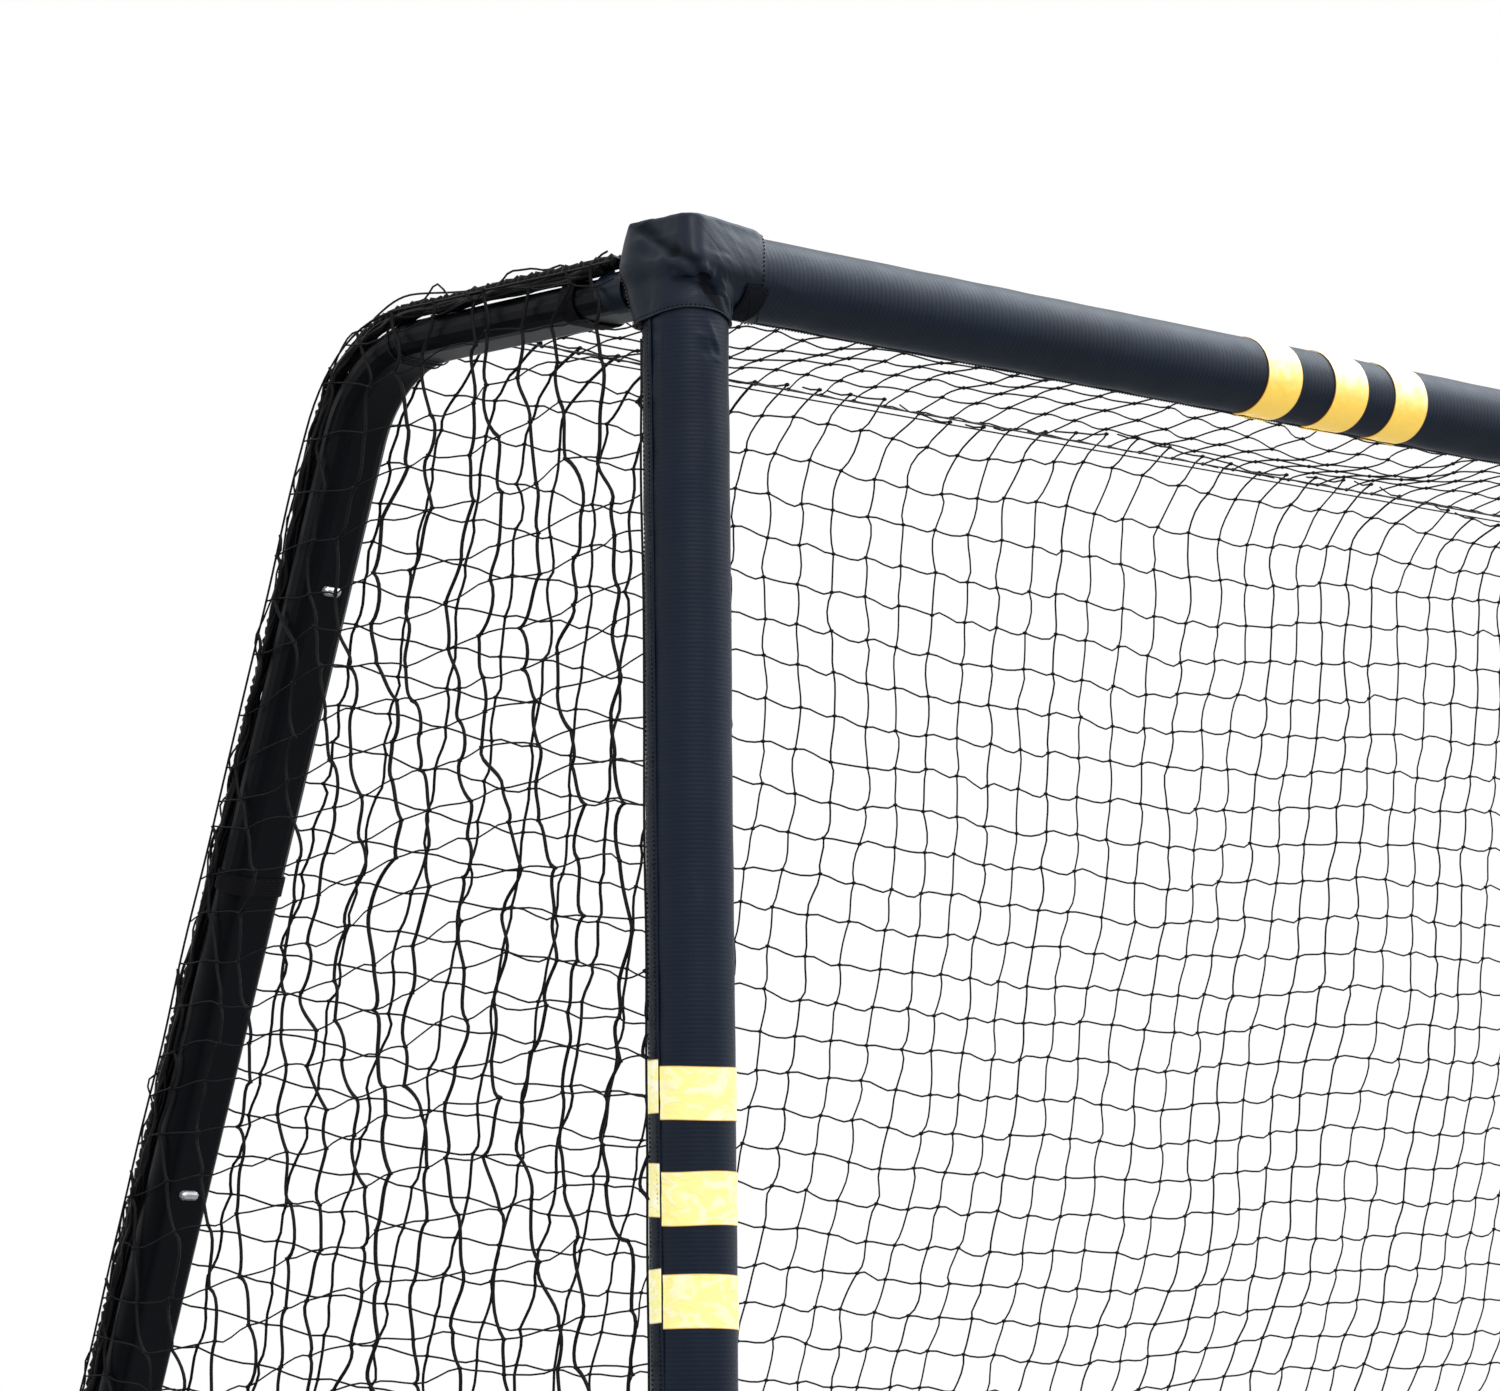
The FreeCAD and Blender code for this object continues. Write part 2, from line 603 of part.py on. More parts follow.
def oval_prism(wide, deep, length):
    """Eight flats round a flat oval, along +Z, the oval's long side along X."""
    r, a = deep / 2, (wide - deep) / 2
    cut = r * math.tan(math.radians(22.5))
    right = [V(a + cut, -r, 0), V(a + r, -cut, 0), V(a + r, cut, 0), V(a + cut, r, 0)]
    ring = right + [-1 * spot for spot in right]
    return Part.Face(Part.makePolygon(ring + ring[:1])).extrude(V(0, 0, length))


# Bent side frames
def side_tubes():
    """Rail, bend and upper leg are one bent tube; the lower leg plugs on below it."""
    upper = leg_body("left_side_tube", "seam")
    bent(upper, oval_section, "seam - bend_tangent", "bend_radius", "turn",
         "rail_reach - bend_tangent - elbow_arm")
    catch_hole(upper, "catch_step / 2")
    length = "leg_len - leg_seat - seam"
    lower = leg_body("left_leg_tube", "leg_len - leg_seat")
    tube(lower, "XY_Plane", "side_wide", "side_deep", "side_wall", length)
    catch_hole(lower, f"{length} - catch_step / 2")


def oval_section(drawing):
    """The bent tube's wall; its round ends are drawn in flats to keep the bend light."""
    flat_oval(drawing, "side_wide", "side_deep")
    flat_oval(drawing, "oval_in_wide", "oval_in_deep")


def catch_hole(owner, height):
    """The catch's hole, through the tube's front wall alone."""
    drawing = sketch(owner, "XZ_Plane", owner.Name + "_catch_hole")
    cut_slot(drawing, "catch_wide + 2 * catch_room", "catch_tall + 2 * catch_room", y=height)
    return pocket(owner, drawing, "side_deep", back=True)


def leg_splice():
    joint = leg_body("left_leg_splice", "seam")
    drawing = sketch(joint, "XY_Plane", "left_leg_splice_section")
    flat_oval(drawing, "oval_plug_wide", "oval_plug_deep")
    flat_oval(drawing, "oval_plug_wide - 2 * side_wall", "oval_plug_deep - 2 * side_wall")
    pad(joint, drawing, "catch_step + 2 * splice_past", both=True)
    catch_hole(joint, "catch_step / 2")
    catch_hole(joint, "-catch_step / 2")


def catches():
    """Each catch is a button with a heel, held out by a folded leaf spring."""
    wall = "(oval_plug_deep / 2 - side_wall)"
    for level, down in (("upper", "catch_first"), ("lower", "catch_first + catch_step")):
        button = leg_body(f"left_{level}_catch", down)
        heel = sketch(button, "XZ_Plane", f"{level}_heel")
        half_x, half_y = "heel_wide / 2", "heel_tall / 2"
        outline(heel, ((f"-{half_x}", f"-{half_y}"), (half_x, f"-{half_y}"),
                       (half_x, half_y), (f"-{half_x}", half_y)))
        offset_to(heel, f"{wall} - catch_room - heel_thick")
        pad(button, heel, "heel_thick")
        stem = sketch(button, "XZ_Plane", f"{level}_stem")
        cut_slot(stem, "catch_wide", "catch_tall")
        offset_to(stem, f"{wall} - catch_room")
        pad(button, stem, f"side_deep / 2 + catch_proud - {wall} + catch_room")
        rim = -size("side_deep / 2 + catch_proud")
        cut_edges(button, lambda ends: all(abs(end.y - rim) < 1e-6 for end in ends), "catch_cut")
        leaf_spring(level, down, wall)


def leaf_spring(level, down, wall):
    """A strip folded to a V between the catch's heel and the far wall."""
    spring = leg_body(f"left_{level}_catch_spring", down)
    half = "spring_thick / 2"
    seat = f"({wall} - catch_room / 2 - {half})"
    tip = f"(-({wall} - catch_room - heel_thick - catch_room / 2 - {half}))"
    crest = f"({seat} - spring_fold)"
    drawing = sketch(spring, "YZ_Plane", f"{level}_spring_side")
    outline(drawing, (
        (f"{seat} - {half}", "-heel_tall / 2"),
        (f"{seat} + {half}", "-heel_tall / 2"),
        (f"{seat} + {half}", "spring_long"),
        (crest, f"spring_long + spring_fold + {half}"),
        (f"{crest} - spring_fold - {half}", "spring_long"),
        (f"{tip} - {half}", "0"),
        (f"{tip} + {half}", "0"),
        (f"{crest} - spring_fold + {half}", "spring_long"),
        (crest, f"spring_long + spring_fold - {half}"),
        (f"{seat} - {half}", "spring_long"),
    ))
    pad(spring, drawing, "spring_wide", both=True)


# Feet, pads and ground bars
def front_foot():
    foot = body("left_front_foot", "side_x", "post_y", "pad_thick")
    block = sketch(foot, "XY_Plane", "front_foot_block")
    outline(block, (
        ("-foot_half", "-front_foot_nose"),
        ("foot_half", "-front_foot_nose"),
        ("foot_half", "foot_half"),
        ("-foot_half", "foot_half"),
    ))
    pad(foot, block, "front_foot_tall")
    arm = sketch(foot, "XY_Plane", "front_foot_arm")
    outline(arm, (
        ("-foot_half", "0"),
        ("foot_half", "0"),
        ("foot_half", "front_foot_arm"),
        ("-foot_half", "front_foot_arm"),
    ))
    pad(foot, arm, "foot_floor + side_deep + foot_floor")
    cut_uprights(foot)
    post_plug = sketch(foot, "XY_Plane", "post_plug")
    cross(post_plug, "plug_r", "plug_rib")
    pad(foot, post_plug, "front_foot_tall + plug_len")
    bar_plug(foot, "XZ_Plane", "front_foot_arm + plug_len", back=True)
    rubber_pad("left_front_pad", "post_y", "front_foot_nose", "front_foot_arm")


def bar_plug(foot, plane, length, back=False):
    plug = sketch(foot, plane, foot.Name + "_plug_" + plane[:2])
    flat_plug(plug, "oval_plug_wide", "oval_plug_deep", y="bar_z")
    pad(foot, plug, length, back)


def cut_uprights(foot):
    """Cuts the upright edges at the four corners of the foot."""
    doc.recompute()
    box, half = foot.Tip.Shape.BoundBox, size("foot_half")

    def corner(ends):
        upright = abs(ends[0].x - ends[-1].x) + abs(ends[0].y - ends[-1].y) < 1e-6
        outer = min(abs(ends[0].y - box.YMin), abs(ends[0].y - box.YMax)) < 1e-6
        return upright and outer and abs(abs(ends[0].x) - half) < 1e-6

    cut_edges(foot, corner, "foot_cut")


def rear_foot():
    """The ground bars meet at right angles here and the leg leans out of the top."""
    foot = body("left_rear_foot", "side_x", "foot_y", "pad_thick")
    seat = "(side_deep / 2 + foot_floor / 2)"
    y, z = "-leg_seat * sin(lean_angle)", "bar_z + leg_seat * cos(lean_angle)"
    top = "bar_z + side_deep / 2 + foot_floor"
    block = sketch(foot, "YZ_Plane", "rear_foot_side")
    outline(block, (
        ("-rear_foot_front", "0"),
        ("rear_foot_back", "0"),
        ("rear_foot_back", top),
        (f"{y} + {seat} * cos(lean_angle)", f"{z} + {seat} * sin(lean_angle)"),
        (f"{y} - {seat} * cos(lean_angle)", f"{z} - {seat} * sin(lean_angle)"),
        ("-rear_foot_front", top),
    ))
    pad(foot, block, "2 * foot_half", both=True)
    cut_uprights(foot)
    bar_plug(foot, "XZ_Plane", "rear_foot_front + plug_len")
    bar_plug(foot, "YZ_Plane", "foot_half + plug_len")
    leg_plug = sketch(foot, "XY_Plane", "leg_plug")
    tilt_to(leg_plug, "0 mm", "bar_z", "lean_angle")
    flat_plug(leg_plug, "oval_plug_wide", "oval_plug_deep")
    pad(foot, leg_plug, "leg_seat + plug_len")
    rubber_pad("left_rear_pad", "foot_y", "rear_foot_front", "rear_foot_back")


def rubber_pad(label, y, front, rear):
    owner = body(label, "side_x", y, "0")
    drawing = sketch(owner, "XY_Plane", label + "_outline")
    half = "foot_half - pad_edge"
    outline(drawing, (
        (f"-({half})", f"-({front}) + pad_edge"),
        (half, f"-({front}) + pad_edge"),
        (half, f"{rear} - pad_edge"),
        (f"-({half})", f"{rear} - pad_edge"),
    ))
    pad(owner, drawing, "pad_thick")


def ground_bars():
    length = "foot_y - rear_foot_front - post_y - front_foot_arm"
    rail = body("left_ground_rail", "side_x", "post_y + front_foot_arm", "ground_z")
    tube(rail, "XZ_Plane", "side_wide", "side_deep", "side_wall", length, back=True)
    half = body("left_rear_bar", "side_x + foot_half", "foot_y", "ground_z")
    tube(half, "YZ_Plane", "side_wide", "side_deep", "side_wall", "post_spacing / 2 - foot_half")
    joint = body("rear_bar_splice", "0", "foot_y", "ground_z")
    drawing = sketch(joint, "YZ_Plane", "rear_bar_joint_plug")
    flat_plug(drawing, "oval_plug_wide", "oval_plug_deep")
    pad(joint, drawing, "splice_len", both=True)


def leg_point(x, down, behind):
    """A point so far down the leg from the rail's axis, and so far behind it."""
    lean = math.radians(size("lean_angle"))
    y = size("knee_y") + down * math.sin(lean) + behind * math.cos(lean)
    z = size("rail_z") - down * math.cos(lean) + behind * math.sin(lean)
    return V(x, y, z)


# Nets
def net_plate(corner, along, up, points, step, seams=()):
    """A flat net: an outline in two directions, holed by square meshes inside its hem."""
    def spot(u, w):
        return corner + along * u + up * w

    def face(corners):
        ring = [spot(u, w) for u, w in corners]
        return Part.Face(Part.makePolygon(ring + ring[:1]))

    sheet_face = face(points)
    inside = sheet_face.makeOffset2D(-size("net_hem"))
    half = size("strand_wide") / 2
    us, ws = [u for u, _ in points], [w for _, w in points]
    cells = []
    for i in range(math.floor(min(us) / step), math.ceil(max(us) / step)):
        for j in range(math.floor(min(ws) / step), math.ceil(max(ws) / step)):
            u0, u1 = i * step + half, (i + 1) * step - half
            w0, w1 = j * step + half, (j + 1) * step - half
            cells.append(face(((u0, w0), (u1, w0), (u1, w1), (u0, w1))))
    gaps = inside.common(Part.makeCompound(cells))
    least = size("strand_wide") ** 2 * 4
    keep = [gap for gap in gaps.Faces if gap.Area > least]
    flat = sheet_face.cut(Part.makeCompound(keep))
    return flat.Faces[0].extrude(along.cross(up).normalize() * size("net_thick"))


def side_net():
    """Outside the leg and the rail, notched below the corner cover."""
    x = size("side_x - side_wide / 2 - net_clear")
    bend, back = size("bend_tangent"), size("side_deep / 2")
    top = size("rail_z") + back * 0.8
    notch_y = size("post_y + cover_half + net_clear")
    notch_z = size("crossbar_height - cover_drop - net_clear")
    low = size("net_ground")
    knee = leg_point(0, bend, back)
    heel = size("foot_y + side_deep / 2 + (ground_z - net_ground) * tan(lean_angle)")
    points = [
        (size("post_y + net_front"), low),
        (heel, low),
        (knee.y, knee.z),
        (size("knee_y") - bend, top),
        (notch_y, top),
        (notch_y, notch_z),
        (size("post_y + net_front"), notch_z),
    ]
    plate = net_plate(V(x, 0, 0), V(0, 1, 0), V(0, 0, 1), points, size("mesh_step"))
    plate.translate(V(-size("net_thick"), 0, 0))
    shape_node("left_side_net", plate)


def back_net():
    """Behind the legs, in their slope, notched round the two rear feet."""
    behind = size("side_deep / 2 + net_clear")
    half = size("post_spacing / 2 + side_wide / 2 + net_clear - net_room")
    inner = size("post_spacing / 2 - foot_half - net_clear")
    narrow = size("post_spacing / 2 + side_wide / 2 - rope_inset - rope_dia / 2 - net_room")
    long, bend = size("leg_len"), size("leg_len - bend_tangent")
    foot, bar, top = size("leg_seat + 2 * net_clear"), size("side_deep / 2 + net_room"), long - 2
    start = leg_point(0, long, behind)
    along = V(1, 0, 0)
    up = (leg_point(0, 0, 0) - leg_point(0, 1, 0)).normalize()
    points = [
        (-half, foot), (-inner, foot), (-inner, bar), (inner, bar), (inner, foot), (half, foot),
        (half, bend), (narrow, bend), (narrow, top), (-narrow, top), (-narrow, bend), (-half, bend),
    ]
    plate = net_plate(start, along, up, points, size("mesh_step"))
    outward = leg_point(0, 0, 1) - leg_point(0, 0, 0)
    if (plate.CenterOfMass - start).dot(outward) < 0:
        plate.translate(outward * size("net_thick"))
    shape_node("back_net", plate)


def top_net():
    """Between the side rails, level with their axes."""
    half = size("post_spacing / 2 - side_wide / 2 - net_clear")
    near = size("post_y + cover_half + net_clear")
    far = size("knee_y + (side_deep / 2 + net_clear) / cos(lean_angle) - 2 * net_room")
    points = [(-half, near), (half, near), (half, far), (-half, far)]
    plate = net_plate(V(0, 0, size("rail_z - net_thick / 2")), V(1, 0, 0), V(0, 1, 0), points,
                      size("mesh_step"))
    shape_node("top_net", plate)


# Ropes, top line and ties
def edge_rope():
    """The bunched rope along the rail's top, round the bend and down the leg's back."""
    foot = "leg_len - leg_seat - 3 * net_clear"
    rope = leg_body("left_edge_rope", foot, "side_x - side_wide / 2 + rope_inset", "rope_off")
    bent(rope, rope_section, f"{foot} - bend_tangent", "bend_radius + rope_off", "turn",
         "rail_reach - bend_tangent - elbow_arm - net_clear")


def rope_section(drawing):
    polygon(drawing, "rope_dia / 2", 8, inside=True)


def top_rear_line():
    """Two taut strands, each looped round both side frames where their bends begin."""
    thick, lift = size("line_dia"), size("net_room / 2")
    wide, deep = size("side_wide") + 2 * lift, size("side_deep") + 2 * lift
    bend_y, bend_z = size("knee_y - bend_tangent"), size("rail_z - bend_radius")
    strands = []
    for angle in (size("line_turn"), size("line_turn - line_step")):
        turn = FreeCAD.Rotation(V(1, 0, 0), -angle)
        middle = V(0, bend_y, bend_z) + turn.multVec(V(0, 0, size("bend_radius")))
        strand = Part.makeBox(size("post_spacing"), thick, thick,
                              V(size("side_x"), -thick / 2, deep / 2))
        strand.Placement = FreeCAD.Placement(middle, turn)
        loops = []
        for side in (-1, 1):
            spot = middle + V(side * size("post_spacing / 2"), 0, 0)
            way, across = turn.multVec(V(0, 1, 0)), V(1, 0, 0)
            loops.append(loop(spot - way * (thick / 2), way, across, wide, deep, thick, thick))
        strands.append(strand.multiFuse(loops))
    shape_node("top_rear_line", Part.makeCompound(strands))


def loop(spot, way, across, wide, deep, thick, length):
    """A closed band round a flat oval bar; way is along the bar, across its wide side."""
    band = oval_prism(wide + 2 * thick, deep + 2 * thick, length).cut(oval_prism(wide, deep, length))
    up = way.cross(across)
    band.Placement = FreeCAD.Placement(FreeCAD.Matrix(
        across.x, up.x, way.x, spot.x,
        across.y, up.y, way.y, spot.y,
        across.z, up.z, way.z, spot.z,
        0, 0, 0, 1))
    return band


def tie(spot, way, across):
    """A webbing tie round one of the flat oval tubes."""
    wide, deep = size("side_wide + 2 * wrap_gap"), size("side_deep + 2 * wrap_gap")
    return loop(spot, way, across, wide, deep, size("tie_thick"), size("tie_wide"))


def net_ties():
    """Ties down each leg, along the rails and across the rear bar."""
    x_way, y_way = V(1, 0, 0), V(0, 1, 0)
    up_leg = (leg_point(0, 0, 0) - leg_point(0, 1, 0)).normalize()
    ties = []
    for side in (-1, 1):
        x = side * size("post_spacing / 2")
        ties.append(tie(V(x, size("post_y + cover_half + 4 * tie_wide"), size("rail_z")), y_way, x_way))
        first, last = size("seam + catch_step"), size("leg_len - leg_seat - tie_step")
        downs = [size("seam")] + [first + (last - first) * i / 2 for i in range(3)]
        ties += [tie(leg_point(x, down, 0), up_leg, x_way) for down in downs]
        first, last = size("post_y + 2 * tie_step"), size("foot_y - 2 * tie_step")
        for y in (first, last):
            ties.append(tie(V(x, y, size("ground_z")), y_way, x_way))
    reach = size("post_spacing / 2 - foot_half - tie_step")
    for i in range(4):
        spot = V(-reach + 2 * reach * i / 3, size("foot_y"), size("ground_z"))
        ties.append(tie(spot, x_way, y_way))
    shape_node("net_ties", Part.makeCompound(ties))


def mirror_left():
    """Every left piece gets its right twin, mirrored in the middle plane."""
    for label in [name for name in nodes if name.startswith("left_")]:
        twin = doc.addObject("Part::Mirroring", label.replace("left_", "right_"))
        twin.Label = label.replace("left_", "right_")
        twin.Source = nodes[label]
        twin.Normal = V(1, 0, 0)
        nodes[twin.Label] = twin


def check():
    """Stops before anything is written if a feature failed."""
    for thing in doc.Objects:
        if {"Invalid", "Error"} & set(thing.State):
            raise RuntimeError(f"{thing.Label} failed: {thing.State}")
    for label, thing in nodes.items():
        if thing.Shape.isNull() or not thing.Shape.isValid() or not thing.Shape.Solids:
            raise RuntimeError(f"{label} has no valid solid")


def main():
    fill_sheet()
    post_tubes()
    crossbar_tubes()
    corner_elbow()
    front_wraps()
    reflective_bands()
    corner_cover()
    side_tubes()
    leg_splice()
    catches()
    front_foot()
    rear_foot()
    ground_bars()
    side_net()
    back_net()
    top_net()
    edge_rope()
    top_rear_line()
    net_ties()
    doc.recompute()
    mirror_left()
    doc.recompute()
    check()
    os.makedirs("parts", exist_ok=True)
    for label, thing in nodes.items():
        thing.Shape.exportStep(f"parts/{label}.step")
    print(len(nodes), "nodes written")


main()
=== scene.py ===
"""Golf practice net: fabric, tape, nets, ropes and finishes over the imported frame.

Metres, in the frame's own axes: +X along the crossbar, +Y to the rear, +Z up.
Left pieces are worked out at -X; a right piece is the same points with X reversed.
"""
import bmesh
import bpy
import json
import math
import numpy as np
from mathutils import Matrix, Vector


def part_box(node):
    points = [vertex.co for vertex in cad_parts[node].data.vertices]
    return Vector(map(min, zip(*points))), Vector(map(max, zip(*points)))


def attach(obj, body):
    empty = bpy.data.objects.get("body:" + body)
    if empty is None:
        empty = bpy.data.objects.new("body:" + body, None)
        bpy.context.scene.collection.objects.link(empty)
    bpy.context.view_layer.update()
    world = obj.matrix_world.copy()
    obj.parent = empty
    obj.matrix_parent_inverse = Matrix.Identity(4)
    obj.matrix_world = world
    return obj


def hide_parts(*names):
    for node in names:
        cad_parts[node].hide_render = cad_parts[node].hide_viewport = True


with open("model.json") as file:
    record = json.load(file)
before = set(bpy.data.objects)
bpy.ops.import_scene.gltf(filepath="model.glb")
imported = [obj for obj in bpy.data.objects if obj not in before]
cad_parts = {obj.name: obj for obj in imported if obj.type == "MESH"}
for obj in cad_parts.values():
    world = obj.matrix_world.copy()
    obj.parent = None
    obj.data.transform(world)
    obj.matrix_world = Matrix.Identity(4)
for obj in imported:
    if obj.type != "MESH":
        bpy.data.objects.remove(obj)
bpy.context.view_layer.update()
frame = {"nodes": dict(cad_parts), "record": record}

bl_info = {
    "name": "Golf practice net",
    "version": (1, 0, 0),
    "blender": (4, 5, 0),
    "location": "3D View > Sidebar > Practice Net",
    "description": "Dresses the packed frame of a golf practice net",
    "category": "Object",
}

MM = 0.001


def middle(node):
    """The middle of a node's box."""
    low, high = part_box(node)
    return (low + high) / 2


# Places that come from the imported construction
POST = middle("left_post_tube_upper")
BAR_Z = middle("crossbar_splice").z
CORNER = Vector((POST.x, POST.y, BAR_Z))
SLEEVE_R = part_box("left_post_sleeve")[1].x - POST.x
SIDE_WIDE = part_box("left_ground_rail")[1].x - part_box("left_ground_rail")[0].x
SIDE_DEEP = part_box("left_ground_rail")[1].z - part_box("left_ground_rail")[0].z
GROUND_Z = middle("left_ground_rail").z
RAIL_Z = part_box("left_side_tube")[1].z - SIDE_DEEP / 2
LEG_UP = (middle("left_upper_catch") - middle("left_lower_catch")).normalized()
LEG_BACK = Vector((0, LEG_UP.z, -LEG_UP.y))
SEAM = middle("left_leg_splice")
KNEE = SEAM + LEG_UP * ((RAIL_Z - SEAM.z) / LEG_UP.z)
FOOT = SEAM - LEG_UP * ((SEAM.z - GROUND_Z) / LEG_UP.z)
LEG_LONG = (KNEE - FOOT).length
# Middle line of the bend between rail and leg
BEND_R = 0.070
BEND_TURN = math.pi / 2 - math.acos(LEG_UP.z)
BEND_RUN = BEND_R * math.tan(BEND_TURN / 2)
BEND_MIDDLE = Vector((POST.x, KNEE.y - BEND_RUN, RAIL_Z - BEND_R))


# Sizes and colours that a user may change
def distance(name, description, value, least=0.0):
    return bpy.props.FloatProperty(
        name=name, description=description, default=value, min=least, unit="LENGTH",
        subtype="DISTANCE")


def colour(name, description, value):
    return bpy.props.FloatVectorProperty(
        name=name, description=description, default=value, size=3, min=0.0, max=1.0,
        subtype="COLOR")


class SleeveSettings(bpy.types.PropertyGroup):
    rib_pitch: distance("Rib pitch", "Distance between the fabric's ribs", 0.0023, 0.0005)
    strip_thick: distance("Strip thickness", "Overlap strip above the sleeve", 0.0010)
    stitch_pitch: distance("Stitch pitch", "From one stitch to the next", 0.0024, 0.0005)
    tape_thick: distance("Tape thickness", "Reflective tape", 0.0003)
    tape_shift: distance("Tape shift", "How far the tape on the strip is out of line", 0.0036)


class NetSettings(bpy.types.PropertyGroup):
    across: distance("Mesh across", "Knot to knot along a row", 0.0284, 0.01)
    down: distance("Mesh down", "Knot to knot along a column", 0.0236, 0.01)
    twine: distance("Twine", "Thickness of the net's twine", 0.0011, 0.0002)
    knot: distance("Knot", "Width of a knot", 0.0031, 0.0004)
    belly: distance("Back belly", "How far the back net hangs forward of the legs", 0.115)
    slack: distance("Top slack", "How far the top net dips before the doubled line", 0.008)
    rope: distance("Rope strand", "Thickness of a strand of the edge ropes", 0.0034, 0.001)


class ColourSettings(bpy.types.PropertyGroup):
    sleeve: colour("Sleeve", "Ribbed sleeve fabric", (0.0030, 0.0125, 0.0310))
    cover: colour("Cover", "Smooth fabric of the corner covers", (0.0035, 0.0130, 0.0320))
    tape: colour("Tape", "Reflective tape in full light", (1.0, 0.96, 0.42))
    # Painted shade: a deeper orange copy of the tape, mixed in where the tape should look less lit
    tape_shade: colour("Tape below", "Reflective tape on its worn underside", (1.0, 0.66, 0.10))
    tube: colour("Tube", "Powder coat of the side frames", (0.003, 0.004, 0.006))
    twine: colour("Twine", "Twine of the nets", (0.004, 0.004, 0.005))
    rope: colour("Rope", "Bunched edge ropes", (0.004, 0.004, 0.005))
    pale: colour("Pale thread", "Pale stitches and piping", (0.60, 0.62, 0.64))


# Shader maths
class Value:
    """A number or vector inside a material; sums and products on it add Math nodes."""

    def __init__(self, paint, socket):
        self.paint, self.socket = paint, socket

    def maths(self, kind, *others):
        made = self.paint.tree.nodes.new("ShaderNodeMath")
        made.operation = kind
        for socket, value in zip(made.inputs, others):
            self.paint.feed(socket, value)
        return Value(self.paint, made.outputs[0])

    def __add__(self, other):
        return self.maths("ADD", self, other)

    def __radd__(self, other):
        return self.maths("ADD", other, self)

    def __sub__(self, other):
        return self.maths("SUBTRACT", self, other)

    def __rsub__(self, other):
        return self.maths("SUBTRACT", other, self)

    def __mul__(self, other):
        return self.maths("MULTIPLY", self, other)

    def __rmul__(self, other):
        return self.maths("MULTIPLY", other, self)

    def wave(self, pitch):
        """A sine between 0 and 1 that repeats at every pitch."""
        turn = self * (2 * math.pi / pitch)
        return turn.maths("SINE", turn) * 0.5 + 0.5

    def ramp(self, low, high):
        """0 below low, 1 above high, smooth between."""
        made = self.paint.tree.nodes.new("ShaderNodeMapRange")
        made.interpolation_type = "SMOOTHSTEP"
        for key, value in (("Value", self), ("From Min", low), ("From Max", high)):
            self.paint.feed(made.inputs[key], value)
        return Value(self.paint, made.outputs[0])


class Paint:
    """One material, built from the piece's own coordinates."""

    def __init__(self, name):
        self.material = bpy.data.materials.new(name)
        self.material.use_nodes = True
        self.tree = self.material.node_tree
        self.tree.nodes.clear()
        self.shader = self.tree.nodes.new("ShaderNodeBsdfPrincipled")
        output = self.tree.nodes.new("ShaderNodeOutputMaterial")
        self.tree.links.new(self.shader.outputs[0], output.inputs[0])

    def feed(self, socket, value):
        """Links a Value to a socket, or sets the socket to a number or colour."""
        if isinstance(value, Value):
            self.tree.links.new(value.socket, socket)
        elif socket.type == "RGBA":
            socket.default_value = (*tuple(value)[:3], 1.0)
        else:
            socket.default_value = value

    def node(self, kind, settings=None, inputs=None, output=0):
        made = self.tree.nodes.new(kind)
        for key, value in (settings or {}).items():
            setattr(made, key, value)
        for key, value in (inputs or {}).items():
            self.feed(made.inputs[key], value)
        return Value(self, made.outputs[output])

    def place(self):
        return self.node("ShaderNodeTexCoord", output="Object")

    def pattern(self):
        """The piece's UV map: metres along and metres round."""
        return self.node("ShaderNodeUVMap", {"uv_map": "pattern"})

    def mark(self, name):
        """The first (X) or second (Y) mark in the second UV map: X is how much painted shade a piece
        gets, Y marks the tape's edge rows.
        """
        return self.axis(self.node("ShaderNodeUVMap", {"uv_map": "worn"}), name)

    def axis(self, vector, name):
        return self.node("ShaderNodeSeparateXYZ", inputs={0: vector}, output=name)

    def noise(self, vector, scale, detail=3.0, rough=0.5, twist=0.0):
        return self.node("ShaderNodeTexNoise", inputs={
            "Vector": vector, "Scale": scale, "Detail": detail, "Roughness": rough,
            "Distortion": twist})

    def stretched_noise(self, vector, scale, detail, rough=0.5, twist=0.0):
        """Noise with a scale of its own in each direction."""
        spot = self.node("ShaderNodeMapping", inputs={"Vector": vector, "Scale": scale})
        return self.noise(spot, 1.0, detail, rough, twist)

    def mix(self, factor, first, second):
        return self.node("ShaderNodeMix", {"data_type": "RGBA"},
                         {0: factor, 6: first, 7: second}, output=2)

    def relief(self, *layers):
        """Bumps laid over one another, each a height, a strength and a distance."""
        normal = None
        for height, strength, distance in layers:
            inputs = {"Height": height, "Strength": strength, "Distance": distance}
            if normal is not None:
                inputs["Normal"] = normal
            normal = self.node("ShaderNodeBump", inputs=inputs)
        return normal

    def finish(self, **sockets):
        """Feeds the shader's own sockets, named in small letters, and gives the material."""
        for name, value in sockets.items():
            self.feed(self.shader.inputs[name.replace("_", " ").title().replace("Ior", "IOR")], value)
        return self.material


def shade(tint, factor, lift=0.0):
    """A tint made paler or darker."""
    return tuple(min(1.0, c * factor + lift) for c in tint)


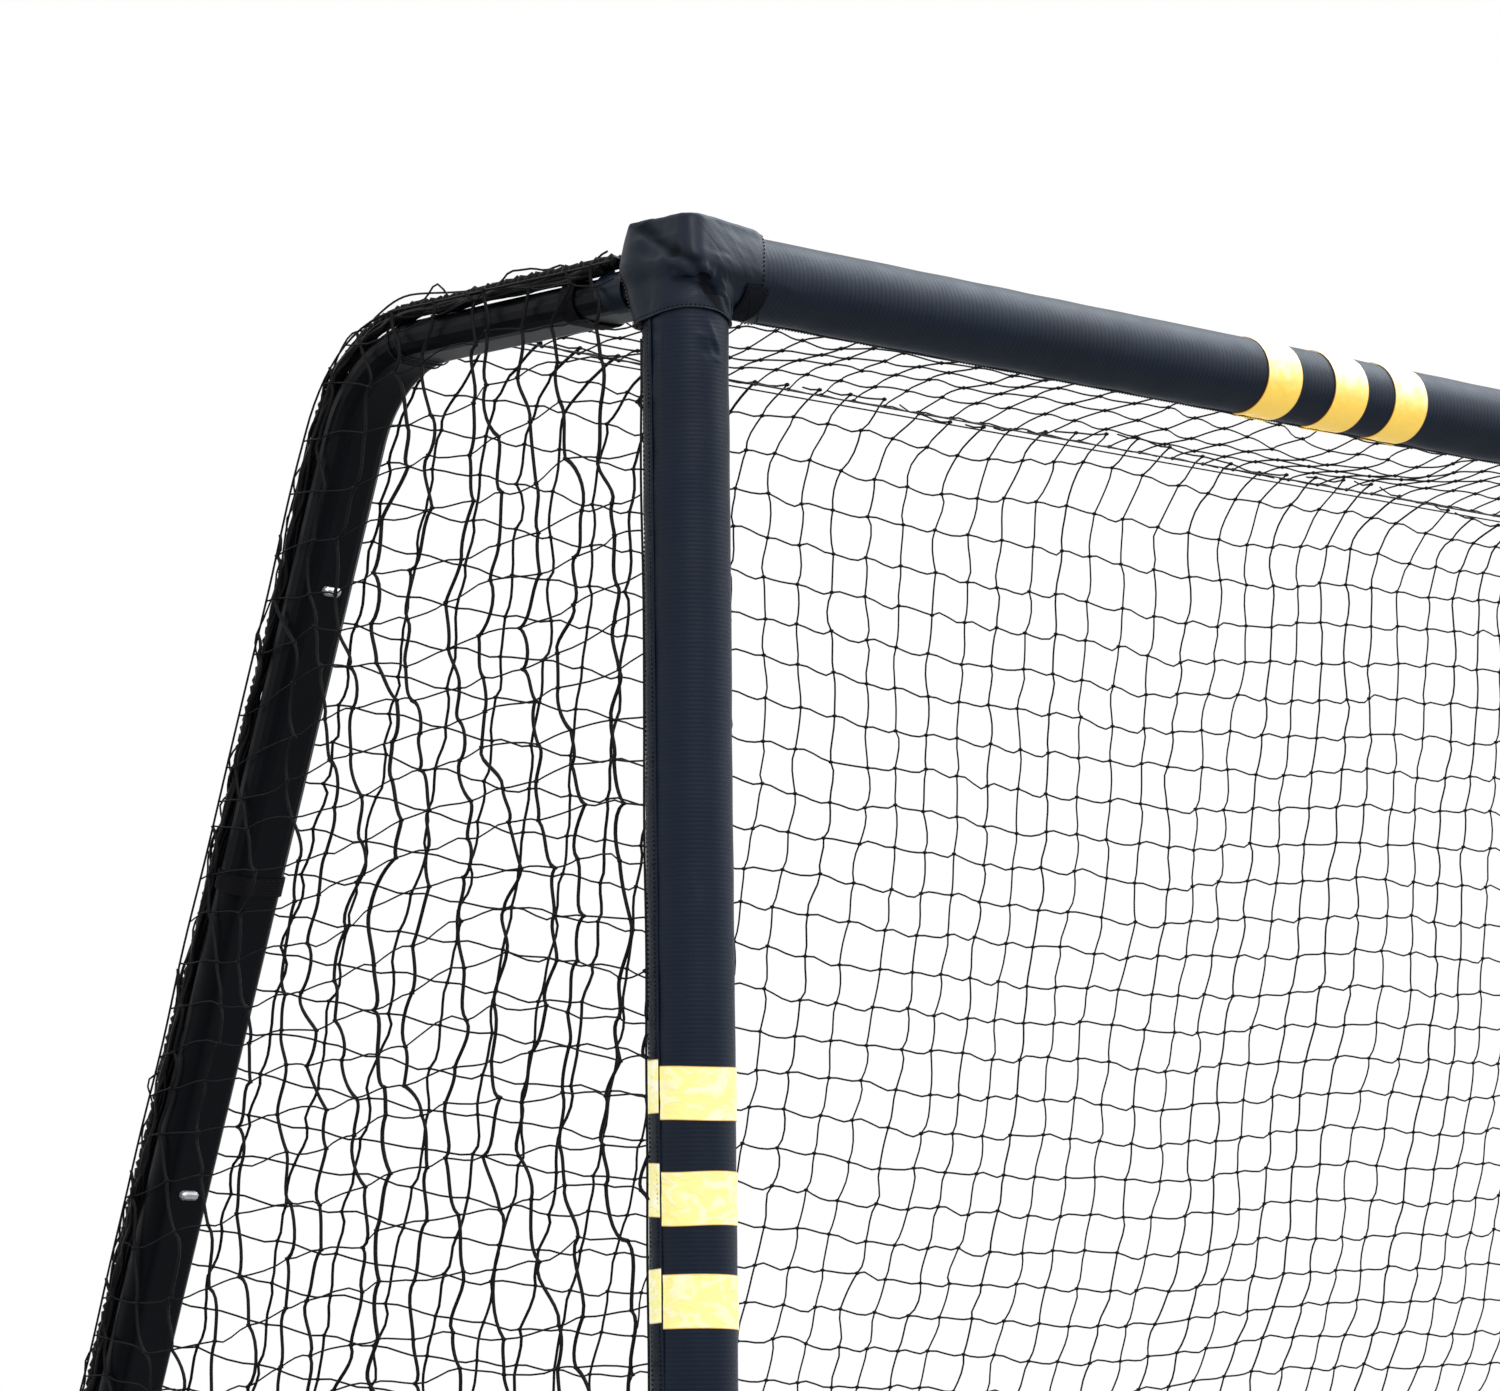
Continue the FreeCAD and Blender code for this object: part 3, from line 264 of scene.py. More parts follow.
def ribbed_vinyl(colours, sleeves):
    """Coated fabric with a rib at every weft, rubbed a little paler in places."""
    paint = Paint("ribbed_vinyl")
    uv = paint.pattern()
    spot = paint.place()
    ribs = paint.axis(uv, "X").wave(sleeves.rib_pitch)
    broad = paint.noise(spot, 9.0)
    fine = paint.stretched_noise(uv, (500.0, 1600.0, 1.0), 3.0)
    cloudy = paint.noise(spot, 60.0, 4.0)
    base = paint.mix(broad.ramp(0.3, 0.7), shade(colours.sleeve, 0.72), colours.sleeve)
    base = paint.mix(ribs * fine * 0.4, base, shade(colours.sleeve, 2.0))
    relief = paint.relief((ribs, 0.22, 0.0002), (fine, 0.25, 0.0002), (cloudy, 0.22, 0.0010))
    return paint.finish(base_color=base, roughness=0.38 + cloudy * 0.14, normal=relief,
                        specular_ior_level=0.25)


def smooth_vinyl(colours):
    """The covers' softer fabric: faint level ribs, wide cloudy sheen, and painted shade that darkens it
    in its folds.
    """
    paint = Paint("smooth_vinyl")
    spot = paint.place()
    ribs = paint.axis(spot, "Z").wave(0.0013)
    cloudy = paint.noise(spot, 70.0, 4.0)
    fine = paint.noise(spot, 1400.0, 2.0)
    deep = paint.mark("X")
    base = paint.mix(cloudy.ramp(0.25, 0.75), shade(colours.cover, 0.75), colours.cover)
    # Painted shade: the colour goes nearly black where the fabric lies deep in a fold
    base = paint.mix(deep * 0.9, base, shade(colours.cover, 0.1))
    relief = paint.relief((ribs, 0.16, 0.00012), (fine, 0.16, 0.00012), (cloudy, 0.15, 0.0008))
    return paint.finish(base_color=base, roughness=0.34 + fine * 0.14 + deep * 0.5, normal=relief,
                        specular_ior_level=0.28)


def reflective_tape(colours):
    """Creased yellow tape with painted highlights on its crease tops, painted shade turning it deeper
    orange (most on the crossbar's underside, least on the post's front), brown at its edges, and a
    painted glow.
    """
    paint = Paint("reflective_tape")
    spot = paint.place()
    crease = paint.stretched_noise(paint.pattern(), (150.0, 90.0, 1.0), 2.0, 0.45, 1.2)
    facet = paint.node("ShaderNodeTexVoronoi", {"feature": "F1"},
                       {"Vector": spot, "Scale": 120.0}, output="Distance")
    grain = paint.noise(spot, 1800.0, 1.0)
    # Painted highlight: the crease tops turn pale, nearly white
    base = paint.mix(crease.ramp(0.45, 0.62), colours.tape, (1.0, 1.0, 0.78))
    # Painted shade: the first mark turns the tape towards its shaded colour
    base = paint.mix(paint.mark("X"), base, colours.tape_shade)
    base = paint.mix(paint.mark("Y"), base, (0.42, 0.17, 0.02))
    relief = paint.relief((crease, 0.55, 0.0016), (facet, 0.35, 0.0012), (grain, 0.10, 0.0001))
    # Painted light: the tape glows with its own colour through emission, though it is no lamp
    return paint.finish(base_color=base, roughness=0.22 + crease * 0.2, normal=relief,
                        coat_weight=0.35, coat_roughness=0.18, emission_color=base,
                        emission_strength=0.75)


def woven_band(name, tint, pitch):
    """Webbing or fastener tape: a plain over-and-under weave."""
    paint = Paint(name)
    uv = paint.pattern()
    weave = paint.axis(uv, "X").wave(pitch) * paint.axis(uv, "Y").wave(pitch)
    fuzz = paint.noise(paint.place(), 900.0)
    base = paint.mix(weave * 0.7 + fuzz * 0.3, shade(tint, 0.5), shade(tint, 1.4))
    relief = paint.relief((weave, 0.6, 0.0003), (fuzz, 0.4, 0.0002))
    return paint.finish(base_color=base, roughness=0.62 + fuzz * 0.25, normal=relief,
                        specular_ior_level=0.15)


def spun_cord(name, tint, scale=1100.0, rough=0.5):
    """Twisted fibres: fine slanting noise in colour, gloss and relief."""
    paint = Paint(name)
    spot = paint.place()
    fibre = paint.noise(spot, scale, 2.0, 0.6, 0.6)
    dust = paint.noise(spot, 35.0)
    base = paint.mix(fibre.ramp(0.35, 0.75), shade(tint, 0.6), shade(tint, 2.0))
    base = paint.mix(dust.ramp(0.55, 0.9) * 0.25, base, shade(tint, 2.5, 0.01))
    return paint.finish(base_color=base, roughness=rough + fibre * 0.2,
                        normal=paint.relief((fibre, 0.6, 0.0003)), specular_ior_level=0.2)


def powder_coat(name, tint, rough):
    """Satin paint over steel: fine orange peel and a few duller, dustier places."""
    paint = Paint(name)
    spot = paint.place()
    peel = paint.noise(spot, 900.0, 2.0)
    dust = paint.stretched_noise(spot, (5.0, 5.0, 1.6), 5.0, 0.6)
    scuff = paint.stretched_noise(spot, (40.0, 40.0, 300.0), 4.0, 0.7)
    base = paint.mix(dust.ramp(0.45, 0.8) * 0.45, tint, shade(tint, 1.8, 0.001))
    base = paint.mix(scuff.ramp(0.66, 0.78) * 0.3, base, shade(tint, 3.0, 0.003))
    return paint.finish(base_color=base, roughness=rough + dust * 0.14,
                        normal=paint.relief((peel, 0.18, 0.0002)), specular_ior_level=0.12)


def bare_metal(name, tint, rough, along):
    """Drawn or plated steel: faint lines along the piece and small dull spots."""
    paint = Paint(name)
    spot = paint.place()
    lines = paint.stretched_noise(spot, along, 3.0, 0.6)
    spots = paint.noise(spot, 220.0, 4.0, 0.6)
    base = paint.mix(spots.ramp(0.5, 0.8) * 0.4, tint, shade(tint, 0.7))
    return paint.finish(base_color=base, metallic=1.0, roughness=rough + lines * 0.12,
                        normal=paint.relief((lines, 0.15, 0.0001)))


def button_metal():
    """The catches: pale plated steel with a fine grain in colour, gloss and relief."""
    paint = Paint("catch_plating")
    grain = paint.noise(paint.place(), 700.0, 2.0)
    base = paint.mix(grain.ramp(0.4, 0.8) * 0.3, (0.94, 0.94, 0.95), (0.80, 0.81, 0.84))
    return paint.finish(base_color=base, metallic=0.25, roughness=0.22 + grain * 0.1,
                        normal=paint.relief((grain, 0.08, 0.0001)), coat_weight=0.5,
                        coat_roughness=0.1)


def moulded(name, tint, rough, scale=600.0):
    """Moulded nylon or rubber with a fine spark-eroded grain."""
    paint = Paint(name)
    spot = paint.place()
    grain = paint.noise(spot, scale, 3.0, 0.6)
    patch = paint.noise(spot, 30.0, 4.0)
    base = paint.mix(patch.ramp(0.35, 0.75), shade(tint, 0.8), shade(tint, 1.25))
    return paint.finish(base_color=base, roughness=rough + patch * 0.15,
                        normal=paint.relief((grain, 0.3, 0.0003)))


def make_paints(context):
    """Every finish of the object, by name."""
    colours, sleeves = context.scene.net_colours, context.scene.net_sleeves
    return {
        "ribbed_vinyl": ribbed_vinyl(colours, sleeves),
        "smooth_vinyl": smooth_vinyl(colours),
        "reflective_tape": reflective_tape(colours),
        "fastener_tape": woven_band("fastener_tape", (0.010, 0.013, 0.020), 0.0011),
        "webbing": woven_band("webbing", (0.012, 0.012, 0.015), 0.0016),
        "twine": spun_cord("twine", colours.twine),
        "rope": spun_cord("rope", colours.rope, 700.0, 0.45),
        "thin_cord": spun_cord("thin_cord", (0.03, 0.03, 0.035)),
        "piping": spun_cord("piping", (0.035, 0.05, 0.075), 1500.0, 0.4),
        "dark_thread": spun_cord("dark_thread", (0.004, 0.004, 0.006), 3000.0),
        "pale_thread": spun_cord("pale_thread", colours.pale, 3000.0),
        "side_tube_steel": powder_coat("side_tube_paint", colours.tube, 0.30),
        "front_tube_steel": powder_coat("front_tube_paint", (0.02, 0.021, 0.024), 0.42),
        "plug_steel": bare_metal("plug_steel", (0.55, 0.56, 0.58), 0.35, (60.0, 60.0, 4.0)),
        "catch_steel": button_metal(),
        "spring_steel": bare_metal("spring_steel", (0.42, 0.43, 0.45), 0.28, (900.0, 60.0, 60.0)),
        "foot_plastic": moulded("foot_nylon", (0.020, 0.021, 0.023), 0.48),
        "rubber": moulded("pad_rubber", (0.026, 0.026, 0.026), 0.72, 1500.0),
        "foam": moulded("wrap_foam", (0.05, 0.05, 0.055), 0.85, 2500.0),
    }


def paint_of(name):
    """The finish of that name, which the frame's operator has made."""
    known = bpy.context.scene.get("net_paints", {})
    if name not in known:
        raise RuntimeError(f"the finishes come first: {name} isn't made")
    return bpy.data.materials[known[name]]


# Points, walls and wires
def mirrored(points):
    """The same points on the other side of the middle plane."""
    return np.asarray(points) * np.array((-1.0, 1.0, 1.0))


# The name of each side, and what turns left points into its own
SIDES = {-1: ("left", np.asarray), 1: ("right", mirrored)}
RIPPLE_WAVES = 8


def ripple(a, b, size, seed):
    """Smooth random unevenness of about unit height over two coordinates."""
    dice = np.random.default_rng(seed)
    total = 0.0
    for _ in range(RIPPLE_WAVES):
        turn, phase = dice.uniform(0, 2 * math.pi, 2)
        pitch = size * dice.uniform(0.6, 1.7)
        total = total + np.sin((a * math.cos(turn) + b * math.sin(turn)) * 2 * math.pi / pitch + phase)
    return total / 2.0


def crossfade(value, low, high):
    """0 below low, 1 above high, smooth between."""
    t = np.clip((value - low) / (high - low), 0.0, 1.0)
    return t * t * (3 - 2 * t)


def hermite(t, start, end, leave, reach):
    """Smooth curve from start to end, t from 0 to 1, with the slopes at both."""
    return ((2 * t ** 3 - 3 * t ** 2 + 1) * start + (t ** 3 - 2 * t ** 2 + t) * leave
            + (3 * t ** 2 - 2 * t ** 3) * end + (t ** 3 - t ** 2) * reach)


def add_object(name, data):
    """Links a new object with its data to the scene."""
    made = bpy.data.objects.new(name, data)
    bpy.context.scene.collection.objects.link(made)
    return made


def lay_map(mesh, name, u, v):
    """Gives the mesh a UV map with two values for each face corner."""
    layer = mesh.uv_layers.new(name=name)
    layer.data.foreach_set("uv", np.stack((u, v), -1).astype(np.float32).ravel())


def grid_quads(rows, cols, loop, first):
    """Corner indices of a grid's faces, with each corner's row and column."""
    i, j = np.meshgrid(np.arange(rows - 1), np.arange(cols if loop else cols - 1), indexing="ij")
    i, j = i.ravel(), j.ravel()
    corners = [(i, j), (i + 1, j), (i + 1, j + 1), (i, j + 1)]
    faces = np.stack([first + r * cols + c % cols for r, c in corners], 1)
    where = np.stack([np.stack((r, c), 1) for r, c in corners], 1)
    return faces, where


def paired(*places):
    """Rows and columns of each corner, as one table."""
    return np.stack([np.stack(np.broadcast_arrays(row, col), 1) for row, col in places], 1)


def wall(name, outer, inner, along, around, loop=False, worn=None, sharp=50.0):
    """A closed wall between two grids of points; a looped one is a tube.

    along and around are metres for the pattern. A tube's inner grid may have only
    its two end rows. The marks, if given, are two for every point of the outer grid: how much painted
    shade it gets, and the tape's edge rows.
    """
    rows, cols = outer.shape[:2]
    inner_rows = inner.shape[0]
    count = rows * cols
    faces, at = [], []

    def add(corners, places, turned):
        faces.append(corners[:, ::-1] if turned else corners)
        at.append(places[:, ::-1] if turned else places)

    add(*grid_quads(rows, cols, loop, 0), False)
    corners, places = grid_quads(inner_rows, cols, loop, count)
    if inner_rows != rows:
        places[..., 0] = np.where(places[..., 0] == 0, 0, rows - 1)
    add(corners, places, True)
    step = np.arange(cols if loop else cols - 1)
    further = (step + 1) % cols
    for row, inner_row in ((0, 0), (rows - 1, inner_rows - 1)):
        first, second = row * cols, count + inner_row * cols
        corners = np.stack((first + step, first + further, second + further, second + step), 1)
        add(corners, paired((row, step), (row, step + 1), (row, step + 1), (row, step)), row > 0)
    if not loop:
        step = np.arange(rows - 1)
        for col in (0, cols - 1):
            first = step * cols + col
            corners = np.stack((first, first + cols, count + first + cols, count + first), 1)
            places = paired((step, col), (step + 1, col), (step + 1, col), (step, col))
            add(corners, places, col == 0)
    spots = np.concatenate([outer.reshape(-1, 3), inner.reshape(-1, 3)])
    faces, at = np.concatenate(faces), np.concatenate(at)
    mesh = bpy.data.meshes.new(name)
    mesh.from_pydata(spots.tolist(), [], faces.tolist())
    row, col = at[..., 0], at[..., 1]
    lay_map(mesh, "pattern", np.asarray(along)[row], np.asarray(around)[col])
    # The second UV map: painted shade and edge marks
    if worn is not None:
        lay_map(mesh, "worn", *(marks[row, col % cols] for marks in worn))
    face_outwards(mesh)
    smooth(mesh, sharp)
    return add_object(name, mesh)


def face_outwards(mesh):
    """Turns every face of a closed mesh outwards."""
    work = bmesh.new()
    work.from_mesh(mesh)
    bmesh.ops.recalc_face_normals(work, faces=work.faces)
    work.to_mesh(mesh)
    work.free()


def smooth(mesh, sharp=50.0):
    """Smooth shading, broken at edges sharper than this many degrees."""
    mesh.polygons.foreach_set("use_smooth", np.ones(len(mesh.polygons), dtype=bool))
    mesh.set_sharp_from_angle(angle=math.radians(sharp))
    mesh.update()


def wires(name, lines, knots=()):
    """Loose polylines, each a pair of points and half thickness, and loose knots."""
    spots, edges, half, knotted = [], [], [], []
    start = 0
    for points, radius in lines:
        points = np.asarray(points)
        count = len(points)
        if count < 2:
            continue
        run = np.arange(start, start + count - 1)
        spots.append(points)
        edges.append(np.stack((run, run + 1), 1))
        half.append(np.broadcast_to(np.asarray(radius, dtype=float), (count,)))
        knotted.append(np.zeros(count))
        start += count
    if len(knots):
        spots.append(np.asarray(knots))
        half.append(np.zeros(len(knots)))
        knotted.append(np.ones(len(knots)))
    mesh = bpy.data.meshes.new(name)
    mesh.from_pydata(np.concatenate(spots).tolist(), np.concatenate(edges).tolist(), [])
    for label, values in (("half", half), ("knotted", knotted)):
        layer = mesh.attributes.new(label, "FLOAT", "POINT")
        layer.data.foreach_set("value", np.concatenate(values).astype(np.float32))
    return add_object(name, mesh)


# Geometry Nodes
class Growth:
    """A geometry tree with named inputs, run once on a piece."""

    def __init__(self, name, inputs):
        self.group = bpy.data.node_groups.new(name, "GeometryNodeTree")
        face = self.group.interface
        face.new_socket(name="Geometry", in_out="INPUT", socket_type="NodeSocketGeometry")
        self.keys = {}
        for label, kind, value in inputs:
            socket = face.new_socket(name=label, in_out="INPUT", socket_type=kind)
            if value is not None:
                socket.default_value = value
            self.keys[label] = socket.identifier
        face.new_socket(name="Geometry", in_out="OUTPUT", socket_type="NodeSocketGeometry")
        self.source = self.group.nodes.new("NodeGroupInput")
        self.sink = self.group.nodes.new("NodeGroupOutput")

    def node(self, kind, settings=None, inputs=None):
        made = self.group.nodes.new(kind)
        for key, value in (settings or {}).items():
            setattr(made, key, value)
        for key, value in (inputs or {}).items():
            if isinstance(value, bpy.types.NodeSocket):
                self.group.links.new(value, made.inputs[key])
            else:
                made.inputs[key].default_value = value
        return made

    def attribute(self, name):
        return self.node("GeometryNodeInputNamedAttribute", {"data_type": "FLOAT"},
                         {"Name": name}).outputs["Attribute"]

    def close(self, pieces):
        """Joins the pieces, realizes them and gives them the Finish input."""
        join = self.node("GeometryNodeJoinGeometry")
        for piece in pieces:
            self.group.links.new(piece, join.inputs[0])
        real = self.node("GeometryNodeRealizeInstances", inputs={0: join.outputs[0]})
        even = self.node("GeometryNodeSetShadeSmooth", inputs={"Geometry": real.outputs[0]})
        done = self.node("GeometryNodeSetMaterial", inputs={
            "Geometry": even.outputs[0], "Material": self.source.outputs["Finish"]})
        self.group.links.new(done.outputs[0], self.sink.inputs[0])

    def run(self, piece, **values):
        modifier = piece.modifiers.new("growth", "NODES")
        modifier.node_group = self.group
        for label, value in values.items():
            modifier[self.keys[label]] = value
        graph = bpy.context.evaluated_depsgraph_get()
        made = bpy.data.meshes.new_from_object(piece.evaluated_get(graph))
        piece.modifiers.clear()
        wire, piece.data = piece.data, made
        bpy.data.meshes.remove(wire)
        if not len(made.polygons):
            raise RuntimeError(f"{piece.name} grew no faces")
        return piece


def twine_growth():
    """Round strands along wires, and a knot on every loose point."""
    tree = Growth("twine_growth", (
        ("Sides", "NodeSocketInt", 4),
        ("Knot", "NodeSocketFloat", 0.0024),
        ("Finish", "NodeSocketMaterial", None),
    ))
    shape = tree.source.outputs["Geometry"]
    curves = tree.node("GeometryNodeMeshToCurve", inputs={"Mesh": shape})
    half = tree.attribute("half")
    sized = tree.node("GeometryNodeSetCurveRadius", inputs={
        "Curve": curves.outputs[0], "Radius": half})
    ring = tree.node("GeometryNodeCurvePrimitiveCircle", inputs={
        "Resolution": tree.source.outputs["Sides"], "Radius": 1.0})
    strands = tree.node("GeometryNodeCurveToMesh", inputs={
        "Curve": sized.outputs[0], "Profile Curve": ring.outputs[0], "Fill Caps": True})
    if "Scale" in strands.inputs:
        tree.group.links.new(tree.attribute("half"), strands.inputs["Scale"])
    points = tree.node("GeometryNodeMeshToPoints", inputs={
        "Mesh": shape, "Selection": tree.attribute("knotted")})
    ball = tree.node("GeometryNodeMeshIcoSphere", inputs={"Radius": 0.5, "Subdivisions": 1})
    size = tree.node("ShaderNodeVectorMath", {"operation": "SCALE"}, {
        0: (1.15, 1.0, 0.85), "Scale": tree.source.outputs["Knot"]})
    knots = tree.node("GeometryNodeInstanceOnPoints", inputs={
        "Points": points.outputs[0], "Instance": ball.outputs[0], "Scale": size.outputs[0]})
    tree.close([strands.outputs[0], knots.outputs[0]])
    return tree


def stitch_growth():
    """A short thread every pitch along each wire."""
    tree = Growth("stitch_growth", (
        ("Pitch", "NodeSocketFloat", 0.0024),
        ("Length", "NodeSocketFloat", 0.0016),
        ("Thread", "NodeSocketFloat", 0.0005),
        ("Finish", "NodeSocketMaterial", None),
    ))
    curves = tree.node("GeometryNodeMeshToCurve", inputs={"Mesh": tree.source.outputs["Geometry"]})
    points = tree.node("GeometryNodeCurveToPoints", {"mode": "LENGTH"}, {
        "Curve": curves.outputs[0], "Length": tree.source.outputs["Pitch"]})
    bead = tree.node("GeometryNodeMeshIcoSphere", inputs={"Radius": 0.5, "Subdivisions": 1})
    size = tree.node("ShaderNodeCombineXYZ", inputs={
        "X": tree.source.outputs["Thread"], "Y": tree.source.outputs["Thread"],
        "Z": tree.source.outputs["Length"]})
    threads = tree.node("GeometryNodeInstanceOnPoints", inputs={
        "Points": points.outputs["Points"], "Instance": bead.outputs[0],
        "Rotation": points.outputs["Rotation"], "Scale": size.outputs[0]})
    tree.close([threads.outputs[0]])
    return tree


GROWTHS = {}


def growth(name):
    """Each tree is built once and used by every piece that needs it."""
    if name not in GROWTHS:
        GROWTHS[name] = {"twine": twine_growth, "stitch": stitch_growth}[name]()
    return GROWTHS[name]


def settle(piece, paint=None, body="frame"):
    """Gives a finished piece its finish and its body."""
    if paint is not None:
        piece.data.materials.clear()
        piece.data.materials.append(paint_of(paint))
    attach(piece, body)
    return piece


def stitches(name, lines, paint, pitch=None, length=0.0016, thread=0.0005):
    """A row of stitches along each line of points."""
    sleeves = bpy.context.scene.net_sleeves
    piece = wires(name, [(line, 0.0) for line in lines])
    growth("stitch").run(piece, Pitch=pitch or sleeves.stitch_pitch, Length=length,
                         Thread=thread, Finish=paint_of(paint))
    return settle(piece)


def cords(name, lines, paint, sides=6, knots=(), knot=0.0):
    """Round cords along lines, each a pair of points and half thickness, with knots."""
    piece = wires(name, lines, knots)
    growth("twine").run(piece, Sides=sides, Knot=knot, Finish=paint_of(paint))
    return settle(piece)


# Sleeves and tape: places on the post and on the crossbar
def on_post(angle, down, radius):
    """Degrees from +X towards +Y, metres below the crossbar's axis."""
    turn = np.radians(angle)
    return np.stack(np.broadcast_arrays(
        POST.x + radius * np.cos(turn), POST.y + radius * np.sin(turn), BAR_Z - down), -1)


def on_bar(angle, reach, radius):
    """Degrees from +Y towards +Z, metres from the left post's axis."""
    turn = np.radians(angle)
    return np.stack(np.broadcast_arrays(
        POST.x + reach, POST.y + radius * np.cos(turn), BAR_Z + radius * np.sin(turn)), -1)


# Creases of the post's sleeve under the cover: angle and depth of both ends,
# then height and width, all lengths in millimetres
POST_CREASES = (
    (252, 30, 278, 51, 1.20, 1.3),
    (240, 40, 262, 42, 0.80, 1.6),
    (262, 52, 279, 53, 0.90, 1.3),
    (246, 47, 262, 52, -0.80, 2.4),
    (264, 44, 271, 51, -1.10, 2.6),
    (192, 34, 190, 62, 1.50, 2.0),
    (200, 32, 197, 60, -0.90, 3.4),
    (190, 62, 193, 96, 0.50, 2.4),
    (232, 420, 246, 436, 0.3, 3.0),
    (222, 322, 236, 331, 0.45, 1.6),
    (236, 331, 240, 322, -0.45, 1.8),
    (228, 336, 243, 340, 0.35, 1.5),
)
BAR_CREASES = (
    (150, 52, 143, 78, 0.30, 3.0),
    (196, 46, 206, 70, 0.30, 2.6),
    (262, 60, 240, 52, 0.35, 2.2),
)


def creased(angle, run, creases):
    """Height of the creases, in metres, over an angle and a run along the tube."""
    a = np.asarray(angle) * math.radians(1) * SLEEVE_R / MM
    b = np.asarray(run) / MM
    total = np.zeros(np.broadcast(a, b).shape)
    for a0, b0, a1, b1, height, width in creases:
        x0, x1 = (math.radians(v) * SLEEVE_R / MM for v in (a0, a1))
        dx, dy = x1 - x0, b1 - b0
        long = dx * dx + dy * dy
        t = np.clip(((a - x0) * dx + (b - b0) * dy) / long, 0, 1)
        far = np.hypot(a - x0 - t * dx, b - b0 - t * dy)
        fade = np.sin(math.pi * np.clip(t, 0.06, 0.94)) ** 0.6
        shape = np.exp(-far / width) if height > 0 else np.exp(-(far / width) ** 2)
        total += height * fade * shape
    return total * MM


def strip_edge(down):
    """Angle of the post strip's free edge, which creeps forward down the post."""
    down = np.asarray(down)
    return 169 + 13 * np.minimum(down, 0.60) / 0.60 + 0.8 * np.sin(down * 11)


# Lengthwise lines of a sleeve are this many degrees apart
SLEEVE_STEP = 4.0
SKIN_THICK = 0.0006
# Height of the fabric's dents, and the metres round it that they count for a degree,
# on the post's sleeve and elsewhere
DENTS = 0.00012
POST_DEGREE = 0.000385
DEGREE = 0.0004
# The crossbar's fabric lies the other way, with its ribs further apart
BAR_WEAVE = 0.70
# Angles between which the overlap strips lie; the post's free edge is strip_edge
STRIP_START = 118.0
BAR_STRIP = (285.0, 347.0)
# The fabric under a strip, a thread on it, and the first stitches from its edge
STRIP_LIFT = 0.00015
THREAD_LIFT = 0.0001
HEM_INSET = 0.0022
# The cover's lower edge below the crossbar's axis
HOOD_DROP = 0.030


def sleeve_skin(name, spot, runs, heights, weave=1.0):
    """A round sleeve; spot places an angle, a run and a radius, heights its folds."""
    angles = np.arange(0, 360, SLEEVE_STEP)
    a, d = np.meshgrid(angles, runs)
    outer = spot(a, d, SLEEVE_R + heights(a, d))
    inner = spot(angles[None, :], runs[[0, -1]][:, None], SLEEVE_R - SKIN_THICK)
    around = np.radians(np.append(angles, 360.0)) * SLEEVE_R
    sleeve = wall(name, outer, inner, runs * weave, around, loop=True)
    settle(sleeve, "ribbed_vinyl")
    return sleeve


def strip_wall(name, spot, angles, runs, height, along, around):
    """The overlap strip that lies on a sleeve."""
    outer = spot(angles, runs, SLEEVE_R + height)
    inner = spot(angles, runs, SLEEVE_R + STRIP_LIFT)
    strip = wall(name, outer, inner, along, np.radians(around) * SLEEVE_R, sharp=35)
    settle(strip, "ribbed_vinyl")


def strip_heights(from_edge):
    """Height of a strip at shares of its width, thinner at its free edge."""
    thick = bpy.context.scene.net_sleeves.strip_thick
    return (thick * np.where(from_edge < 0.001, 0.45, np.where(from_edge < 0.02, 0.86, 1.0)))[None, :]


def post_sleeve(side):
    """Round sleeve over foam, its overlap strip and the strip's stitches."""
    settings = bpy.context.scene.net_sleeves
    name, flip = SIDES[side]
    low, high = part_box("left_post_sleeve")
    top, foot = BAR_Z - high.z, BAR_Z - low.z
    downs = np.concatenate([np.arange(top, 0.13, 0.0012), np.arange(0.13, 0.62, 0.005),
                            np.linspace(0.62, foot, 110)])

    def spot(a, d, r):
        return flip(on_post(a, d, r))

    def heights(a, d):
        return creased(a, d, POST_CREASES) + DENTS * ripple(a * POST_DEGREE, d, 0.05, 11 + side)

    sleeve = sleeve_skin(f"{name}_post_sleeve_fabric", spot, downs, heights)
    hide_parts(f"{name}_post_sleeve", f"{name}_post_foam")
    downs = downs[downs > HOOD_DROP - 0.002]
    share = np.concatenate([np.linspace(0, 0.93, 14), (0.975, 0.992, 1.0)])
    edge = strip_edge(downs)
    a = STRIP_START + (edge[:, None] - STRIP_START) * share[None, :]
    d = np.repeat(downs[:, None], len(share), 1)
    pucker = DENTS * ripple(a * DEGREE, d, 0.022, 31) + creased(a, d, POST_CREASES) * 0.6
    height = strip_heights(1 - share) + np.maximum(pucker, -0.0003)
    strip_wall(f"{name}_post_strip", spot, a, d, height, downs, STRIP_START + 66 * share)
    thread = SLEEVE_R + settings.strip_thick + THREAD_LIFT
    lines = [spot(edge - math.degrees(inset / SLEEVE_R), downs, thread) for inset in (HEM_INSET, 0.0105)]
    stitches(f"{name}_post_strip_stitches", lines, "dark_thread", thread=0.0006)


